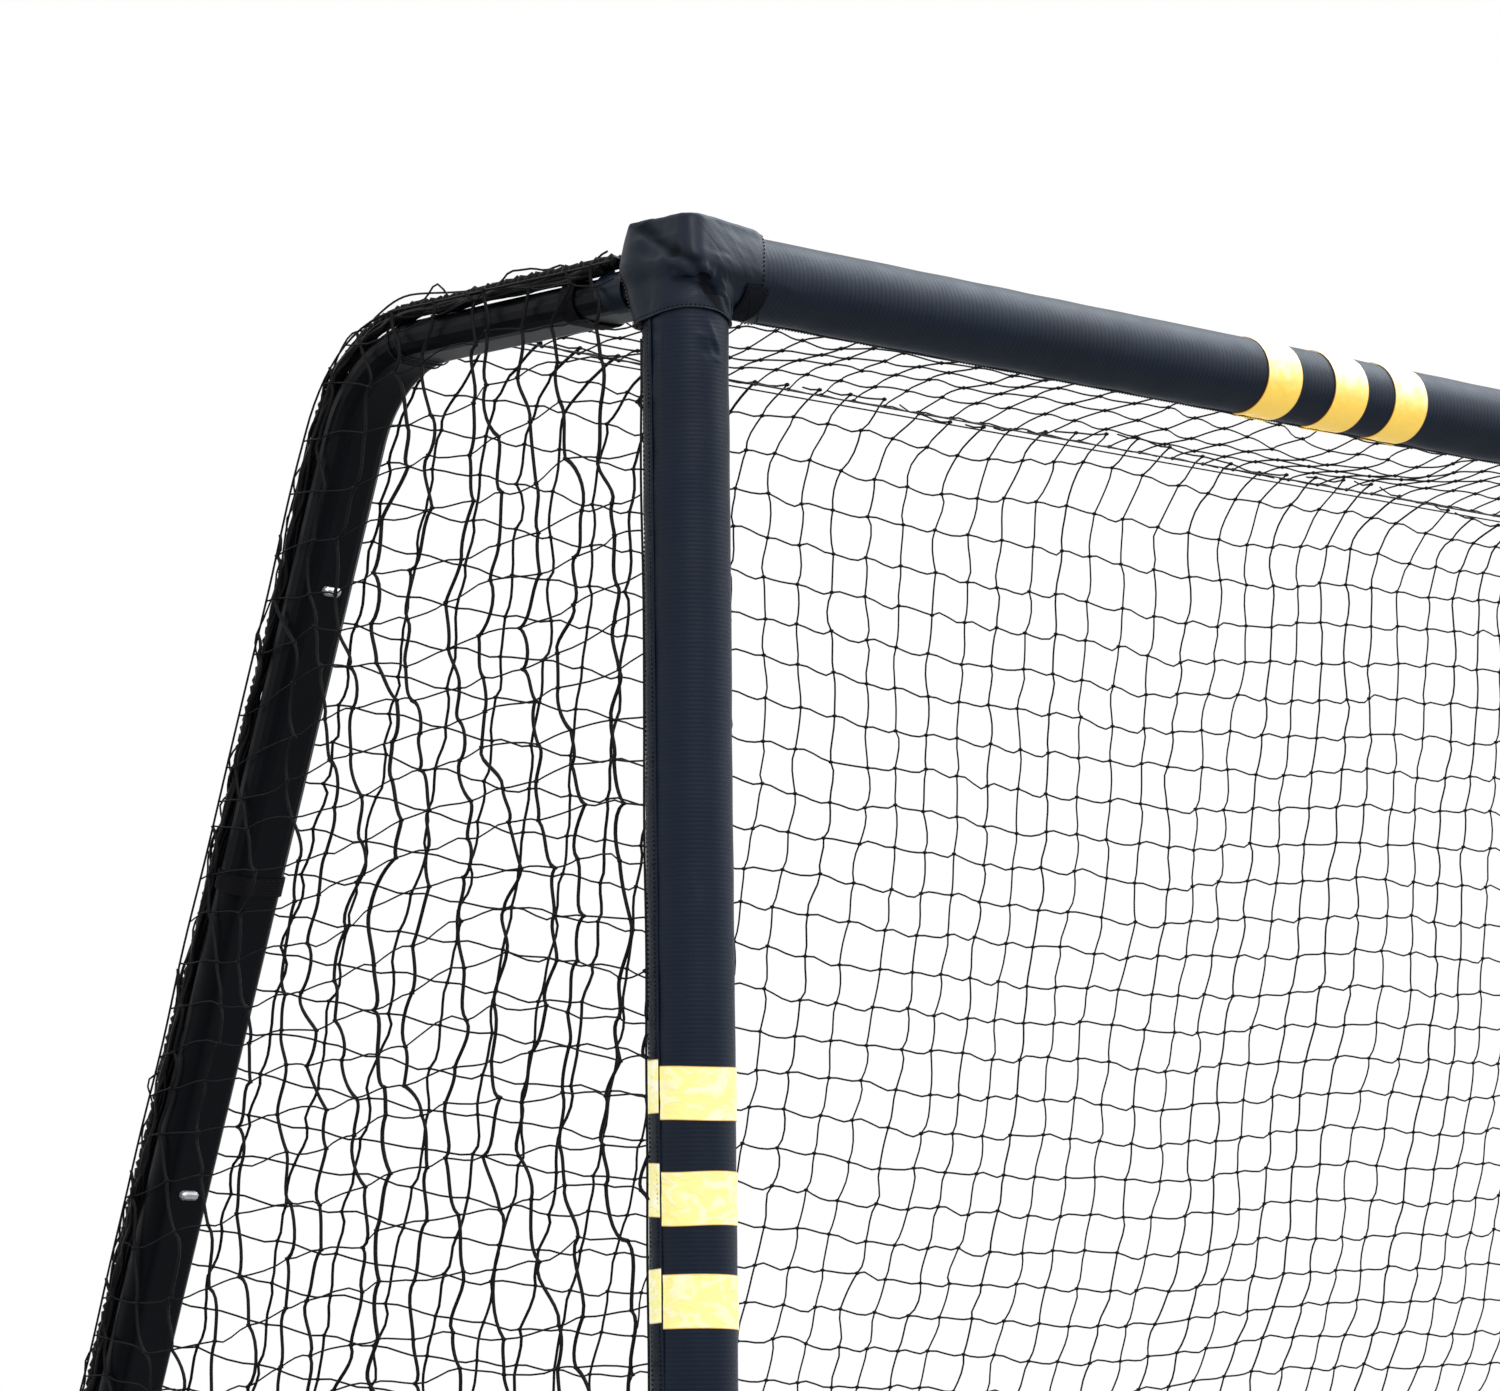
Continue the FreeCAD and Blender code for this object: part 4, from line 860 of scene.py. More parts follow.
def bar_sleeve():
    """The crossbar's sleeve, with its overlap strip low at the back."""
    settings = bpy.context.scene.net_sleeves
    low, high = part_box("crossbar_sleeve")
    start, end = low.x - POST.x, high.x - POST.x
    whole = end + start
    near = np.concatenate([np.arange(start, 0.10, 0.0016), np.arange(0.10, 0.70, 0.005),
                           np.linspace(0.70, whole / 2, 50)])
    reach = np.concatenate([near, (whole - near)[::-1][1:]])

    def heights(a, d):
        folds = creased(a, np.minimum(d, whole - d), BAR_CREASES)
        return folds + DENTS * ripple(a * DEGREE, d, 0.06, 21)

    sleeve = sleeve_skin("crossbar_sleeve_fabric", on_bar, reach, heights, BAR_WEAVE)
    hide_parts("crossbar_sleeve", "crossbar_foam")
    reach = np.arange(0.046, whole - 0.046, 0.0055)
    share = np.concatenate([(0.0, 0.01, 0.03), np.linspace(0.08, 1.0, 13)])
    first, last = BAR_STRIP
    sway = 0.7 * np.sin(reach * 9)
    a = (first + (last - first) * share)[None, :] + sway[:, None]
    d = np.repeat(reach[:, None], len(share), 1)
    height = strip_heights(share) + 0.0001 * ripple(a * DEGREE, d, 0.03, 41)
    strip_wall("crossbar_strip", on_bar, a, d, height, reach * BAR_WEAVE, first + 62 * share)
    edge = first + sway + math.degrees(HEM_INSET / SLEEVE_R)
    line = on_bar(edge, reach, SLEEVE_R + settings.strip_thick + THREAD_LIFT)
    stitches("crossbar_strip_stitches", [line], "dark_thread", thread=0.0006)


# Where the bands begin, from the crossbar's axis and from the post's, and their widths
POST_BANDS = (0.418, 0.471, 0.5235)
BAR_BANDS = (0.4475, 0.5085, 0.5645)
POST_BAND_WIDE = 0.0275
BAR_BAND_WIDE = 0.0305
TAPE_LIFT = 0.0002


def tape_wall(name, spot, angles, runs, base, seed, under):
    """One piece of creased tape; spot places an angle, a run and a radius."""
    settings = bpy.context.scene.net_sleeves
    a, d = np.meshgrid(angles, runs)
    metres = np.radians(a) * SLEEVE_R
    crease = ripple(metres, d, 0.016, seed) + 0.7 * np.abs(ripple(metres, d, 0.009, seed + 1)) - 0.5
    inside = np.minimum(d - runs[0], runs[-1] - d) / 0.003
    radius = base + settings.tape_thick + 0.00013 * crease * np.clip(inside, 0.15, 1)
    skew = 0.00035 * ripple(metres, metres * 0, 0.05, seed + 2)
    outer = spot(a, d + skew, radius)
    inner = spot(a, d + skew, base)
    edge = np.zeros_like(a)
    edge[0, :] = edge[-1, :] = 1.0
    around = np.radians(angles) * SLEEVE_R
    # The marks: painted shade from under, and the tape's two edge rows
    return wall(name, outer, inner, runs, around, worn=(under(a), edge), sharp=60)


def band_rows(start, wide):
    """Runs across a band, with a narrow row along each of its edges."""
    inner = np.linspace(start + 0.0007, start + wide - 0.0007, 15)
    return np.concatenate([[start], inner, [start + wide]])


def joined(name, parts):
    """One object from several meshes made here."""
    work = bmesh.new()
    for part in parts:
        work.from_mesh(part.data)
    mesh = bpy.data.meshes.new(name)
    work.to_mesh(mesh)
    work.free()
    for part in parts:
        old = part.data
        bpy.data.objects.remove(part)
        bpy.data.meshes.remove(old)
    return add_object(name, mesh)


def tape_bands(name, node, spot, starts, wide, layers, seed):
    """A set of bands; layers gives angles, shift, radius and painted shade of each piece of tape."""
    parts = []
    for count, start in enumerate(starts):
        rows = band_rows(start, wide)
        for layer, (angles, shift, radius, under) in enumerate(layers(start)):
            parts.append(tape_wall("tape", spot, angles, rows + shift, radius,
                                   seed + 10 * layer + count, under))
    bands = joined(name, parts)
    settle(bands, "reflective_tape")
    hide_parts(node)


def tapes(side):
    """Three bands on the post and three at this end of the crossbar."""
    settings = bpy.context.scene.net_sleeves
    name, flip = SIDES[side]
    flat, raised = SLEEVE_R + TAPE_LIFT, SLEEVE_R + settings.strip_thick

    def post_layers(start):
        edge = float(strip_edge(start))
        # Painted shade: the post's tape is mixed towards the shaded colour, least at its front-left face
        # and a little on the strip
        yield (np.linspace(edge + 0.7, 360 + STRIP_START - 0.7, 110), 0.0, flat,
               lambda a: 0.36 + 0.10 * crossfade(np.abs(a - 232), 20, 60))
        yield (np.linspace(STRIP_START + 0.6, edge - 0.6, 26), -settings.tape_shift,
               raised + TAPE_LIFT, lambda a: np.full_like(a, 0.10))

    def bar_layers(_):
        # Painted shade: the bar's tape turns to the shaded colour on its underside
        def under(a):
            return crossfade(-np.sin(np.radians(a)), -0.75, 0.55)

        yield np.linspace(BAR_STRIP[1] + 1.5, 360 + BAR_STRIP[0] - 1.5, 110), 0.0, flat, under
        yield (np.linspace(BAR_STRIP[0] + 1.2, BAR_STRIP[1] - 1.2, 26), settings.tape_shift,
               raised + 0.0003, under)

    tape_bands(f"{name}_post_tape", f"{name}_post_bands", lambda a, d, r: flip(on_post(a, d, r)),
               POST_BANDS, POST_BAND_WIDE, post_layers, 50)
    tape_bands(f"{name}_crossbar_tape", f"{name}_crossbar_bands",
               lambda a, d, r: flip(on_bar(a, d, r)), BAR_BANDS, BAR_BAND_WIDE, bar_layers, 70)


# Corner covers: directions in which the skin is looked for, by rings of points
# from the crossbar hem to the post hem, in millimetres from the corner
COVER_RINGS = {
    0: ((52, 22.9, 0), (14, 25, 0), (0, 26, 2), (-2, 26, -8), (0, 23.1, -31.5)),
    45: ((51, 16.2, 16.2), (12, 22, 22), (-14, 25, 24), (-22, 25, -3), (-19, 19, -31.8)),
    90: ((49.5, 0, 22.9), (12, 0, 25), (-13, 1, 25.2), (-22.5, 0, -3), (-24, 0, -29)),
    135: ((41, -16.2, 16.2), (12, -19, 21), (-12, -16, 26.5), (-18, -22, -7), (-16.3, -16.3, -26)),
    180: ((34, -22.9, 0), (16, -24, 1), (-1, -25, 4), (-4, -25.5, -8), (0, -23.1, -27)),
    225: ((38, -16.2, -16.2), (24, -20, -15), (8, -22, -12), (8, -22, -18), (16.3, -16.3, -31)),
    270: ((52, 0, -22.9), (30, 0, -23), (23, 0, -23), (23, 0, -25), (22.9, 0, -31.5)),
    315: ((52, 16, -16), (22, 20, -17), (17, 20, -17), (17, 20, -20), (16.3, 16.3, -31.5)),
}
# Flat places the fabric is stretched over: direction and distance
COVER_FACES = (
    ((-0.978, -0.05, 0.20), 22.1),
    ((0.066, -0.968, 0.241), 25.0),
)
COVER_ROOF = ((0.050, 0.02, 1.0), 23.2)
COVER_R = SLEEVE_R / MM + 1.35
# Folds: two ends, the way they face, height, width, all in millimetres
COVER_FOLDS = (
    ((-14.6, 18.5, 21.8), (-16.5, -10, 1.5), (-0.95, -0.25, 0.2), -2.2, 4.4),
    ((-16.5, -10, 1.5), (-14.5, -21.5, -5.2), (-0.8, -0.55, 0.1), -2.2, 3.8),
    ((-20.5, 10.6, 11.5), (-18, -21.2, -8.2), (-0.9, -0.4, 0.1), 1.7, 3.4),
    ((-20.3, -16, -9.2), (-10.9, -23, -6.4), (-0.5, -0.85, 0.0), 1.6, 2.6),
    ((-10.9, -23, -6.4), (-5.5, -24, -9.0), (-0.2, -0.97, 0.0), 1.6, 2.2),
    ((-9.0, -23, -12.5), (-3, -23.3, -18), (-0.2, -0.97, 0.0), -3.0, 3.6),
    ((-3, -23.3, -18), (3, -23, -28), (-0.2, -0.97, 0.0), -3.0, 3.6),
    ((4, -24, -12), (11, -21.5, -25), (0.1, -0.97, -0.2), 1.0, 2.2),
)
DEEPEST_FOLD = 3.0
# The moulded block under the cover: half its width, its cut edges, and the fabric's room
ELBOW_FLAT = 18.7
ELBOW_SLANT = 31.0
ELBOW_ROOM = 1.25


def lesser(a, b, soft):
    """The smaller of two distances, rounded over where they are near each other."""
    share = np.clip(0.5 + 0.5 * (b - a) / soft, 0, 1)
    return b * (1 - share) + a * share - soft * share * (1 - share)


def greater(a, b, soft):
    """The greater of two distances, rounded over in the same way."""
    return -lesser(-a, -b, soft)


def cover_distance(p):
    """How far places lie outside the stretched cover, in millimetres."""
    x, y, z = p[..., 0], p[..., 1], p[..., 2]
    on_bar_tube = np.hypot(y, z) - COVER_R - 1.0 * (1 - crossfade(x, 12, 40))
    on_bar_tube = greater(on_bar_tube, -(9 + x), 14.0)
    on_post_tube = np.maximum(np.hypot(x, y) - COVER_R, z + 2)
    block, front = (p @ np.array(way) - far for way, far in COVER_FACES)
    roof = p @ np.array(COVER_ROOF[0]) - COVER_ROOF[1]
    for flat, soft in ((front, 11.0), (roof, 2.2), (y - 25.2, 5.0), (-z - 7.0, 9.0), (x - 40.0, 8.0)):
        block = greater(block, flat, soft)
    low = np.clip((-z - 3) / 29, 0, 1)
    heel = np.hypot(x + 14 - 2 * low, y - 16 + 4 * low) - (12 - 2.1 * low - 0.25 * np.clip(z, 0, 30))
    heel = np.maximum(heel, z - 21.5)
    body = lesser(on_bar_tube, on_post_tube, 4.0)
    return lesser(lesser(body, heel, 7.0), block, 6.0)


def elbow_distance(p):
    """How far places lie outside the moulded corner block under the cover."""
    x, y, z = (np.abs(p[..., i]) for i in range(3))
    flat = np.maximum(np.maximum(x, y), z) - ELBOW_FLAT
    slant = (np.maximum(np.maximum(x + y, x + z), y + z) - ELBOW_SLANT) / 1.414
    past = (p[..., 0] > 20) | (p[..., 2] < -18.6)
    return np.where(past, 9.0, np.maximum(flat, slant))


def spline(keys, values, at, tight=0.3, closed=None):
    """Cardinal curve through the values; closed gives the period of a loop."""
    keys, values = np.asarray(keys, float), np.asarray(values, float)
    if closed:
        keys = np.concatenate([keys[-2:] - closed, keys, keys[:3] + closed])
        values = np.concatenate([values[-2:], values, values[:3]])
    shape = (-1,) + (1,) * (values.ndim - 1)
    slope = np.zeros_like(values)
    slope[1:-1] = (values[2:] - values[:-2]) / (keys[2:] - keys[:-2]).reshape(shape)
    slope[0] = (values[1] - values[0]) / (keys[1] - keys[0])
    slope[-1] = (values[-1] - values[-2]) / (keys[-1] - keys[-2])
    slope = slope * (1 - tight)
    spot = np.clip(np.searchsorted(keys, at, side="right") - 1, 0, len(keys) - 2)
    long = keys[spot + 1] - keys[spot]
    t = ((at - keys[spot]) / long).reshape(shape)
    long = long.reshape(shape)
    return hermite(t, values[spot], values[spot + 1], long * slope[spot], long * slope[spot + 1])


def grid_normals(points):
    """Unit normals of a grid looped in its second direction."""
    along = np.gradient(points, axis=0)
    around = np.roll(points, -1, 1) - np.roll(points, 1, 1)
    normal = np.cross(around, along)
    return normal / np.maximum(np.linalg.norm(normal, axis=-1, keepdims=True), 1e-12)


def folded(points, normals):
    """Moves a skin along its normals where it has folds; millimetres."""
    total = np.zeros(points.shape[:2])
    for a, b, facing, height, width in COVER_FOLDS:
        a, b, facing = (np.array(v, float) for v in (a, b, facing))
        facing /= np.linalg.norm(facing)
        run = b - a
        flat_run = run - facing * (run @ facing)
        offset = points - a
        flat = offset - facing * (offset @ facing)[..., None]
        t = np.clip((flat @ flat_run) / max(flat_run @ flat_run, 1e-6), 0, 1)
        far = np.linalg.norm(flat - t[..., None] * flat_run, axis=-1)
        total += height * np.exp(-(far / width) ** 2) * crossfade(normals @ facing, 0.15, 0.5)
    return points + normals * np.maximum(total, -DEEPEST_FOLD)[..., None]


# Degrees between the cover's lengthwise lines, its rows, and steps of the search for it
COVER_STEP = 2.5
COVER_ROWS = 120
COVER_SEARCH = 26


def cover_skin():
    """The left cover's outer points, in millimetres from the corner.

    Also gives how deep each lies in a fold, from 0 to 1, and the grid's two scales.
    """
    angles = sorted(COVER_RINGS)
    table = np.array([COVER_RINGS[a] for a in angles], float)
    at_angle = np.arange(0, 360, COVER_STEP)
    rings = spline(np.array(angles, float), table, at_angle, 0.25, closed=360.0)
    stations = np.array([0.0, 1.0, 1.8, 2.8, 4.0])
    at_station = np.linspace(0, 4.0, COVER_ROWS)
    guide = spline(stations, rings.transpose(1, 0, 2), at_station, 0.35)
    low = crossfade(at_station, 1.2, 3.4)[:, None]
    centre = np.zeros_like(guide)
    centre[..., 0] = np.clip(guide[..., 0], 2, 60) * (1 - low)
    centre[..., 2] = np.clip(guide[..., 2], -40, -2) * low
    way = guide - centre
    way /= np.linalg.norm(way, axis=-1, keepdims=True)
    near, far = np.full(way.shape[:2], 12.0), np.full(way.shape[:2], 70.0)
    for _ in range(COVER_SEARCH):
        half = (near + far) / 2
        out = cover_distance(centre + way * half[..., None]) > 0
        near, far = np.where(out, near, half), np.where(out, half, far)
    skin = centre + way * far[..., None]
    ease = crossfade(at_station, 0.0, 0.25) * (1 - crossfade(at_station, 3.75, 4.0))
    inward = np.array((10.0, 0.0, -5.0))

    def outward(points):
        normals = grid_normals(points)
        return np.where(((points - inward) * normals).sum(-1, keepdims=True) < 0, -normals, normals)

    plain = skin
    skin = folded(skin, outward(skin))
    # How far each point is pushed into a fold, which sets the painted shade in the folds
    depth = np.clip(-((skin - plain) * outward(plain)).sum(-1) / 2.4, 0, 1)
    skin = skin + outward(skin) * np.maximum(ELBOW_ROOM - elbow_distance(skin), 0)[..., None]
    a, s = np.meshgrid(at_angle, at_station)
    small = 0.10 * ripple(a * 0.4, s * 16, 14, 91) + 0.04 * ripple(a * 0.4, s * 16, 6, 92)
    return skin + outward(skin) * (small * ease[:, None])[..., None], depth, at_angle, at_station


def out_of(points, axis, least):
    """Pushes points out to at least this distance from an axis through the corner."""
    centre = points * np.array(axis, float)
    arm = points - centre
    long = np.linalg.norm(arm, axis=-1, keepdims=True)
    return centre + arm * np.maximum(long, least) / np.maximum(long, 1e-9)


# The lengthwise line of the cover that its rear seam follows
REAR_SEAM = 18
# The two axes through the corner
ALONG_BAR = (1, 0, 0)
DOWN_POST = (0, 0, 1)


def clear_of_tubes(skin):
    """Keeps the cover off the sleeves and off the rail's side of the corner piece."""
    skin = np.where(skin[..., :1] > 28, out_of(skin, ALONG_BAR, COVER_R), skin)
    on_the_post = skin[..., 2:] < -19
    skin = np.where(on_the_post, out_of(skin, DOWN_POST, COVER_R - 0.2), skin)
    clear = 20.2 * crossfade(skin[..., :1], -15.0, -9.0)
    return np.where(on_the_post, skin, out_of(skin, ALONG_BAR, clear))


def cover_mesh(name, outer, skin, depth, angles, stations):
    """One thickness of the cover, open at both hems and where the rail passes."""
    faces, where = grid_quads(*skin.shape[:2], True, 0)
    centre = skin.reshape(-1, 3)[faces].mean(1)
    rail_hole = ((centre[:, 1] > 17.5) & (centre[:, 2] < 1.5) & (np.abs(centre[:, 0]) < 21.5)
                 & (centre[:, 2] > -22.5))
    faces, where = faces[~rail_hole], where[~rail_hole]
    mesh = bpy.data.meshes.new(name)
    mesh.from_pydata(outer.reshape(-1, 3).tolist(), [], faces.tolist())
    row, col = where[..., 0], where[..., 1]
    along = np.append(stations, stations[-1]) * 0.017
    around = np.radians(np.append(angles, 360.0)) * SLEEVE_R
    lay_map(mesh, "pattern", along[row], around[col])
    marks = depth[row, col % len(angles)]
    # The first mark carries the painted shade of the folds
    lay_map(mesh, "worn", marks, marks * 0)
    work = bmesh.new()
    work.from_mesh(mesh)
    bmesh.ops.recalc_face_normals(work, faces=work.faces)
    loose = [v for v in work.verts if not v.link_faces]
    bmesh.ops.delete(work, geom=loose, context="VERTS")
    top = max(work.verts, key=lambda v: v.co.z)
    if top.normal.z < 0:
        bmesh.ops.reverse_faces(work, faces=work.faces)
    work.to_mesh(mesh)
    work.free()
    return mesh


def corner_covers(side):
    """Folded cover with its seam threads and the piping of its lower hem."""
    name, flip = SIDES[side]
    skin, depth, angles, stations = cover_skin()
    skin = clear_of_tubes(skin)
    corner = np.array(CORNER)
    label = f"{name}_cover_fabric"
    cover = add_object(label, cover_mesh(label, flip(corner + skin * MM), skin, depth, angles, stations))
    thick = cover.modifiers.new("thickness", "SOLIDIFY")
    thick.thickness, thick.offset = 0.9 * MM, -1.0
    graph = bpy.context.evaluated_depsgraph_get()
    made = bpy.data.meshes.new_from_object(cover.evaluated_get(graph))
    cover.modifiers.clear()
    cover.data = made
    smooth(made, 60.0)
    settle(cover, "smooth_vinyl")
    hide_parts(f"{name}_corner_cover")
    rear = skin[:, REAR_SEAM]
    rear = rear[(rear[:, 2] < -3) & (rear[:, 2] > -31)]
    for seam, line, axis, tone, pitch, length, thread in (
            ("bar", skin[3], ALONG_BAR, "dark", 0.0026, 0.0017, 0.0007),
            ("post", skin[-4], DOWN_POST, "dark", 0.0024, 0.0012, 0.0006),
            ("rear", rear, DOWN_POST, "pale", 0.0019, 0.0009, 0.0006)):
        line = flip(corner + line * MM + on_axis_out(line, axis) * 0.35 * MM)
        stitches(f"{name}_cover_{seam}_stitches", [line], f"{tone}_thread",
                 pitch=pitch, length=length, thread=thread)
    ring = np.vstack([skin[-1], skin[-1, :1]])
    piping = flip(corner + (ring + on_axis_out(ring, DOWN_POST) * 0.1) * MM)
    cords(f"{name}_cover_piping", [(piping, 0.00045)], "piping", sides=6)


def on_axis_out(points, axis):
    """Unit directions away from an axis through the corner."""
    axis = np.array(axis, float)
    arm = points - (points @ axis)[..., None] * axis
    return arm / np.maximum(np.linalg.norm(arm, axis=-1, keepdims=True), 1e-9)


# The tab's underside above the sleeve
TAB_LIFT = 0.0022


def cover_tab(side):
    """Stitched fastener tab under the crossbar end of the cover."""
    name, flip = SIDES[side]
    low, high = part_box("left_cover_tab")
    runs = np.linspace(low.x - POST.x - 0.0075, high.x - POST.x - 0.0065, 16)
    angles = np.linspace(202, 262, 34)
    base = SLEEVE_R + TAB_LIFT

    def on_tab(a, d, lift):
        return flip(on_bar(a, d + 0.0012 * np.sin(np.radians((a - 200) * 3)), base + lift))

    a, d = np.meshgrid(angles, runs)
    tab = wall(f"{name}_fastener_tab", on_tab(a, d, 0.0009), on_tab(a, d, 0), runs,
               np.radians(angles) * base, sharp=35)
    settle(tab, "fastener_tape")
    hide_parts(f"{name}_cover_tab")
    first, last, near, far = 205.5, 258.5, runs[0] + 0.0014, runs[-1] - 0.0014
    corners = ((first, near), (last, near), (last, far), (first, far), (first, near))
    seams = [np.linspace(p, q, 14) for p, q in zip(corners[:-1], corners[1:])]
    seams += [np.linspace(corners[i], corners[i + 2], 16) for i in (0, 1)]
    lines = [on_tab(seam[:, 0], seam[:, 1], 0.00105) for seam in seams]
    stitches(f"{name}_tab_stitches", lines, "dark_thread",
             pitch=0.0021, length=0.0013, thread=0.0006)


def rail_tongue(side):
    """Small tongue of fabric wrapped over the rail just behind the cover."""
    name, flip = SIDES[side]
    reach = np.linspace(0.0275, 0.047, 14)
    share = np.linspace(0, 1, 40)
    count, first, last = 96, 20, 62
    centre = (first + last) / 2
    grids = []
    for off in (0.0017, 0.0006):
        ring = oval_ring(off, count)
        rows = []
        for y in reach:
            narrow = 1 - 0.55 * crossfade(y, 0.036, 0.047)
            spots = centre + (np.linspace(first, last, len(share)) - centre) * narrow
            x, z = (np.interp(spots, np.arange(count), ring[:, i]) for i in (0, 1))
            rows.append(np.stack((POST.x + x, np.full_like(x, POST.y + y), RAIL_Z + z), -1))
        grids.append(flip(np.array(rows)))
    tongue = wall(f"{name}_rail_tongue", *grids, reach, share * 0.06, sharp=40)
    settle(tongue, "smooth_vinyl")


def oval_ring(off, count):
    """Points round the side tube's flat oval, this far outside it: x, then height.

    They start in the middle of the inner face (+X) and go over the top.
    """
    long, deep = SIDE_WIDE - SIDE_DEEP, SIDE_DEEP / 2 + off
    quarter = math.pi * deep / 2
    run = np.arange(count) / count * (2 * long + 4 * quarter)
    top = np.clip(run - quarter, 0, long)
    bottom = np.clip(run - 3 * quarter - long, 0, long)
    turn = (run - top - bottom) / deep
    return np.stack((long / 2 - top + bottom + deep * np.cos(turn), deep * np.sin(turn)), -1)


# Nets, ropes and ties
def round_knee(off, run):
    """Places beside the side tube, off outside its axis: along rail, bend and leg.

    Returns the (y, z) places and outward directions at a distance from the post.
    """
    run = np.asarray(run, float)
    flat = BEND_MIDDLE.y - POST.y
    turn = np.clip((run - flat) / (BEND_R + off), 0, BEND_TURN)
    outward = np.stack((np.sin(turn), np.cos(turn)), -1)
    spot = np.array((BEND_MIDDLE.y, BEND_MIDDLE.z)) + outward * (BEND_R + off)
    before = np.minimum(run - flat, 0)[..., None] * np.array((1.0, 0.0))
    after = np.maximum(run - flat - BEND_TURN * (BEND_R + off), 0)[..., None]
    return spot + before - after * np.array((LEG_UP.y, LEG_UP.z)), outward


def leg_run(off, down):
    """The run at which a place this far down the leg from the knee lies."""
    return BEND_MIDDLE.y - POST.y + BEND_TURN * (BEND_R + off) + down - BEND_RUN


def strand_paths(knots, first_lean, last_lean, steps):
    """Curved strands through a table of knots, along its second direction.

    knots holds flat places (rows, columns, 2); the leans are turns in radians at
    each strand's two ends. Returns (rows, points, 2).
    """
    a, b = knots[:, :-1], knots[:, 1:]
    run = b - a

    def turned(vector, angle):
        c, s = np.cos(angle), np.sin(angle)
        return np.stack((vector[..., 0] * c - vector[..., 1] * s,
                         vector[..., 0] * s + vector[..., 1] * c), -1)

    t = (np.arange(steps) / steps)[:, None]
    ends = (a, b, turned(run, first_lean), turned(run, last_lean))
    curve = hermite(t, *(v[:, :, None, :] for v in ends))
    return np.concatenate([curve.reshape(len(knots), -1, 2), knots[:, -1:]], 1)


def kept_runs(points, keep):
    """The parts of a strand that lie where keep is true."""
    parts, start = [], None
    for i, flag in enumerate(list(keep) + [False]):
        if flag and start is None:
            start = i
        elif not flag and start is not None:
            if i - start > 1:
                parts.append(points[start:i])
            start = None
    return parts


# The most that a strand leans where it leaves a knot, in radians
MOST_LEAN = 1.1


def net_piece(name, grid, place, inside, twine, seed, lean, steps=(5, 4), shared=False, borders=()):
    """One net panel.

    grid: knot places (rows, columns, 2) in the panel's own flat metres.
    place: flat metres to space. inside: which flat places are kept. twine: half
    thickness of rows and columns, or a function of flat places. lean: for rows and
    columns, the radians at which they leave a knot and reach the next, and their
    spread. shared: the last column belongs to the next panel.
    """
    dice = np.random.default_rng(seed)
    lines = []
    for way, half in enumerate(twine):
        knots = grid if way == 0 else grid.transpose(1, 0, 2)
        if way and shared:
            knots = knots[:-1]
        shape = (knots.shape[0], knots.shape[1] - 1)
        *leans, spread = lean[way]
        first, last = (np.clip(dice.normal(turn, spread, shape), -MOST_LEAN, MOST_LEAN) for turn in leans)
        for strand in strand_paths(knots, first, last, steps[way]):
            for part in kept_runs(strand, inside(strand)):
                part = to_the_rim(part, strand, inside)
                lines.append((place(part), half(part) if callable(half) else half))
    knots = (grid[:, :-1] if shared else grid).reshape(-1, 2)
    knots = place(knots[inside(knots)])
    for line, half in borders:
        lines.append((place(line), half))
    return cords(name, lines, "twine", sides=4, knots=knots,
                 knot=bpy.context.scene.net_nets.knot)


def to_the_rim(part, strand, inside):
    """Lengthens a kept run at both ends to the rim that cuts its strand."""
    ends = []
    for tip, step in ((part[0], -1), (part[-1], 1)):
        at = int(np.argmin(np.abs(strand - tip).sum(-1))) + step
        if not 0 <= at < len(strand):
            ends.append(tip)
            continue
        near, far = tip, strand[at]
        for _ in range(7):
            half_way = (near + far) / 2
            if inside(half_way[None])[0]:
                near = half_way
            else:
                far = half_way
        ends.append(near)
    return np.vstack([ends[0][None], part, ends[1][None]])


# Run at which the doubled line crosses, and how far below it the back net hangs lowest
TOP_LINE_RUN = BEND_MIDDLE.y - POST.y + math.radians(9.5) * (BEND_R + SIDE_DEEP / 2)
BELLY_DOWN = 0.62


def back_place(flat):
    """Behind the legs: x and the run from the post, hanging forward between the legs."""
    nets = bpy.context.scene.net_nets
    x, run = flat[..., 0], flat[..., 1]
    inward = np.clip((SIDE_WIDE / 2 - POST.x - np.abs(x)) / 0.35, 0, 1)
    away = np.clip(-POST.x - np.abs(x), 0, None)
    sunk = 1 - np.exp(-(away / 0.11) ** 1.5)
    deep = run - TOP_LINE_RUN
    whole = leg_run(SIDE_DEEP / 2, LEG_LONG) - TOP_LINE_RUN
    rest = np.clip((deep - BELLY_DOWN) / (whole - BELLY_DOWN), 0, 1)
    belly = np.sin(np.clip(deep / BELLY_DOWN, 0, 1) * math.pi / 2) * (0.5 + 0.5 * np.cos(math.pi * rest))
    slack = 0.0022 + 0.0012 * (1 + 0.5 * ripple(x, run, 0.05, 6))
    slack = slack + 0.004 * inward * ripple(x, run, 0.30, 5) - nets.belly * belly * sunk
    spot, outward = round_knee(SIDE_DEEP / 2, run)
    spot = spot + outward * slack[..., None]
    return np.stack((x, spot[..., 0], spot[..., 1]), -1)


# How far the rows of the back net sag, by the distance in from the leg
SAG_AWAY = (0.0, 0.25, 0.40, 0.55, 0.70, 0.80, 0.90, 1.2)
SAG_DOWN = (0.0, 0.004, 0.012, 0.018, 0.020, 0.014, 0.004, -0.002)


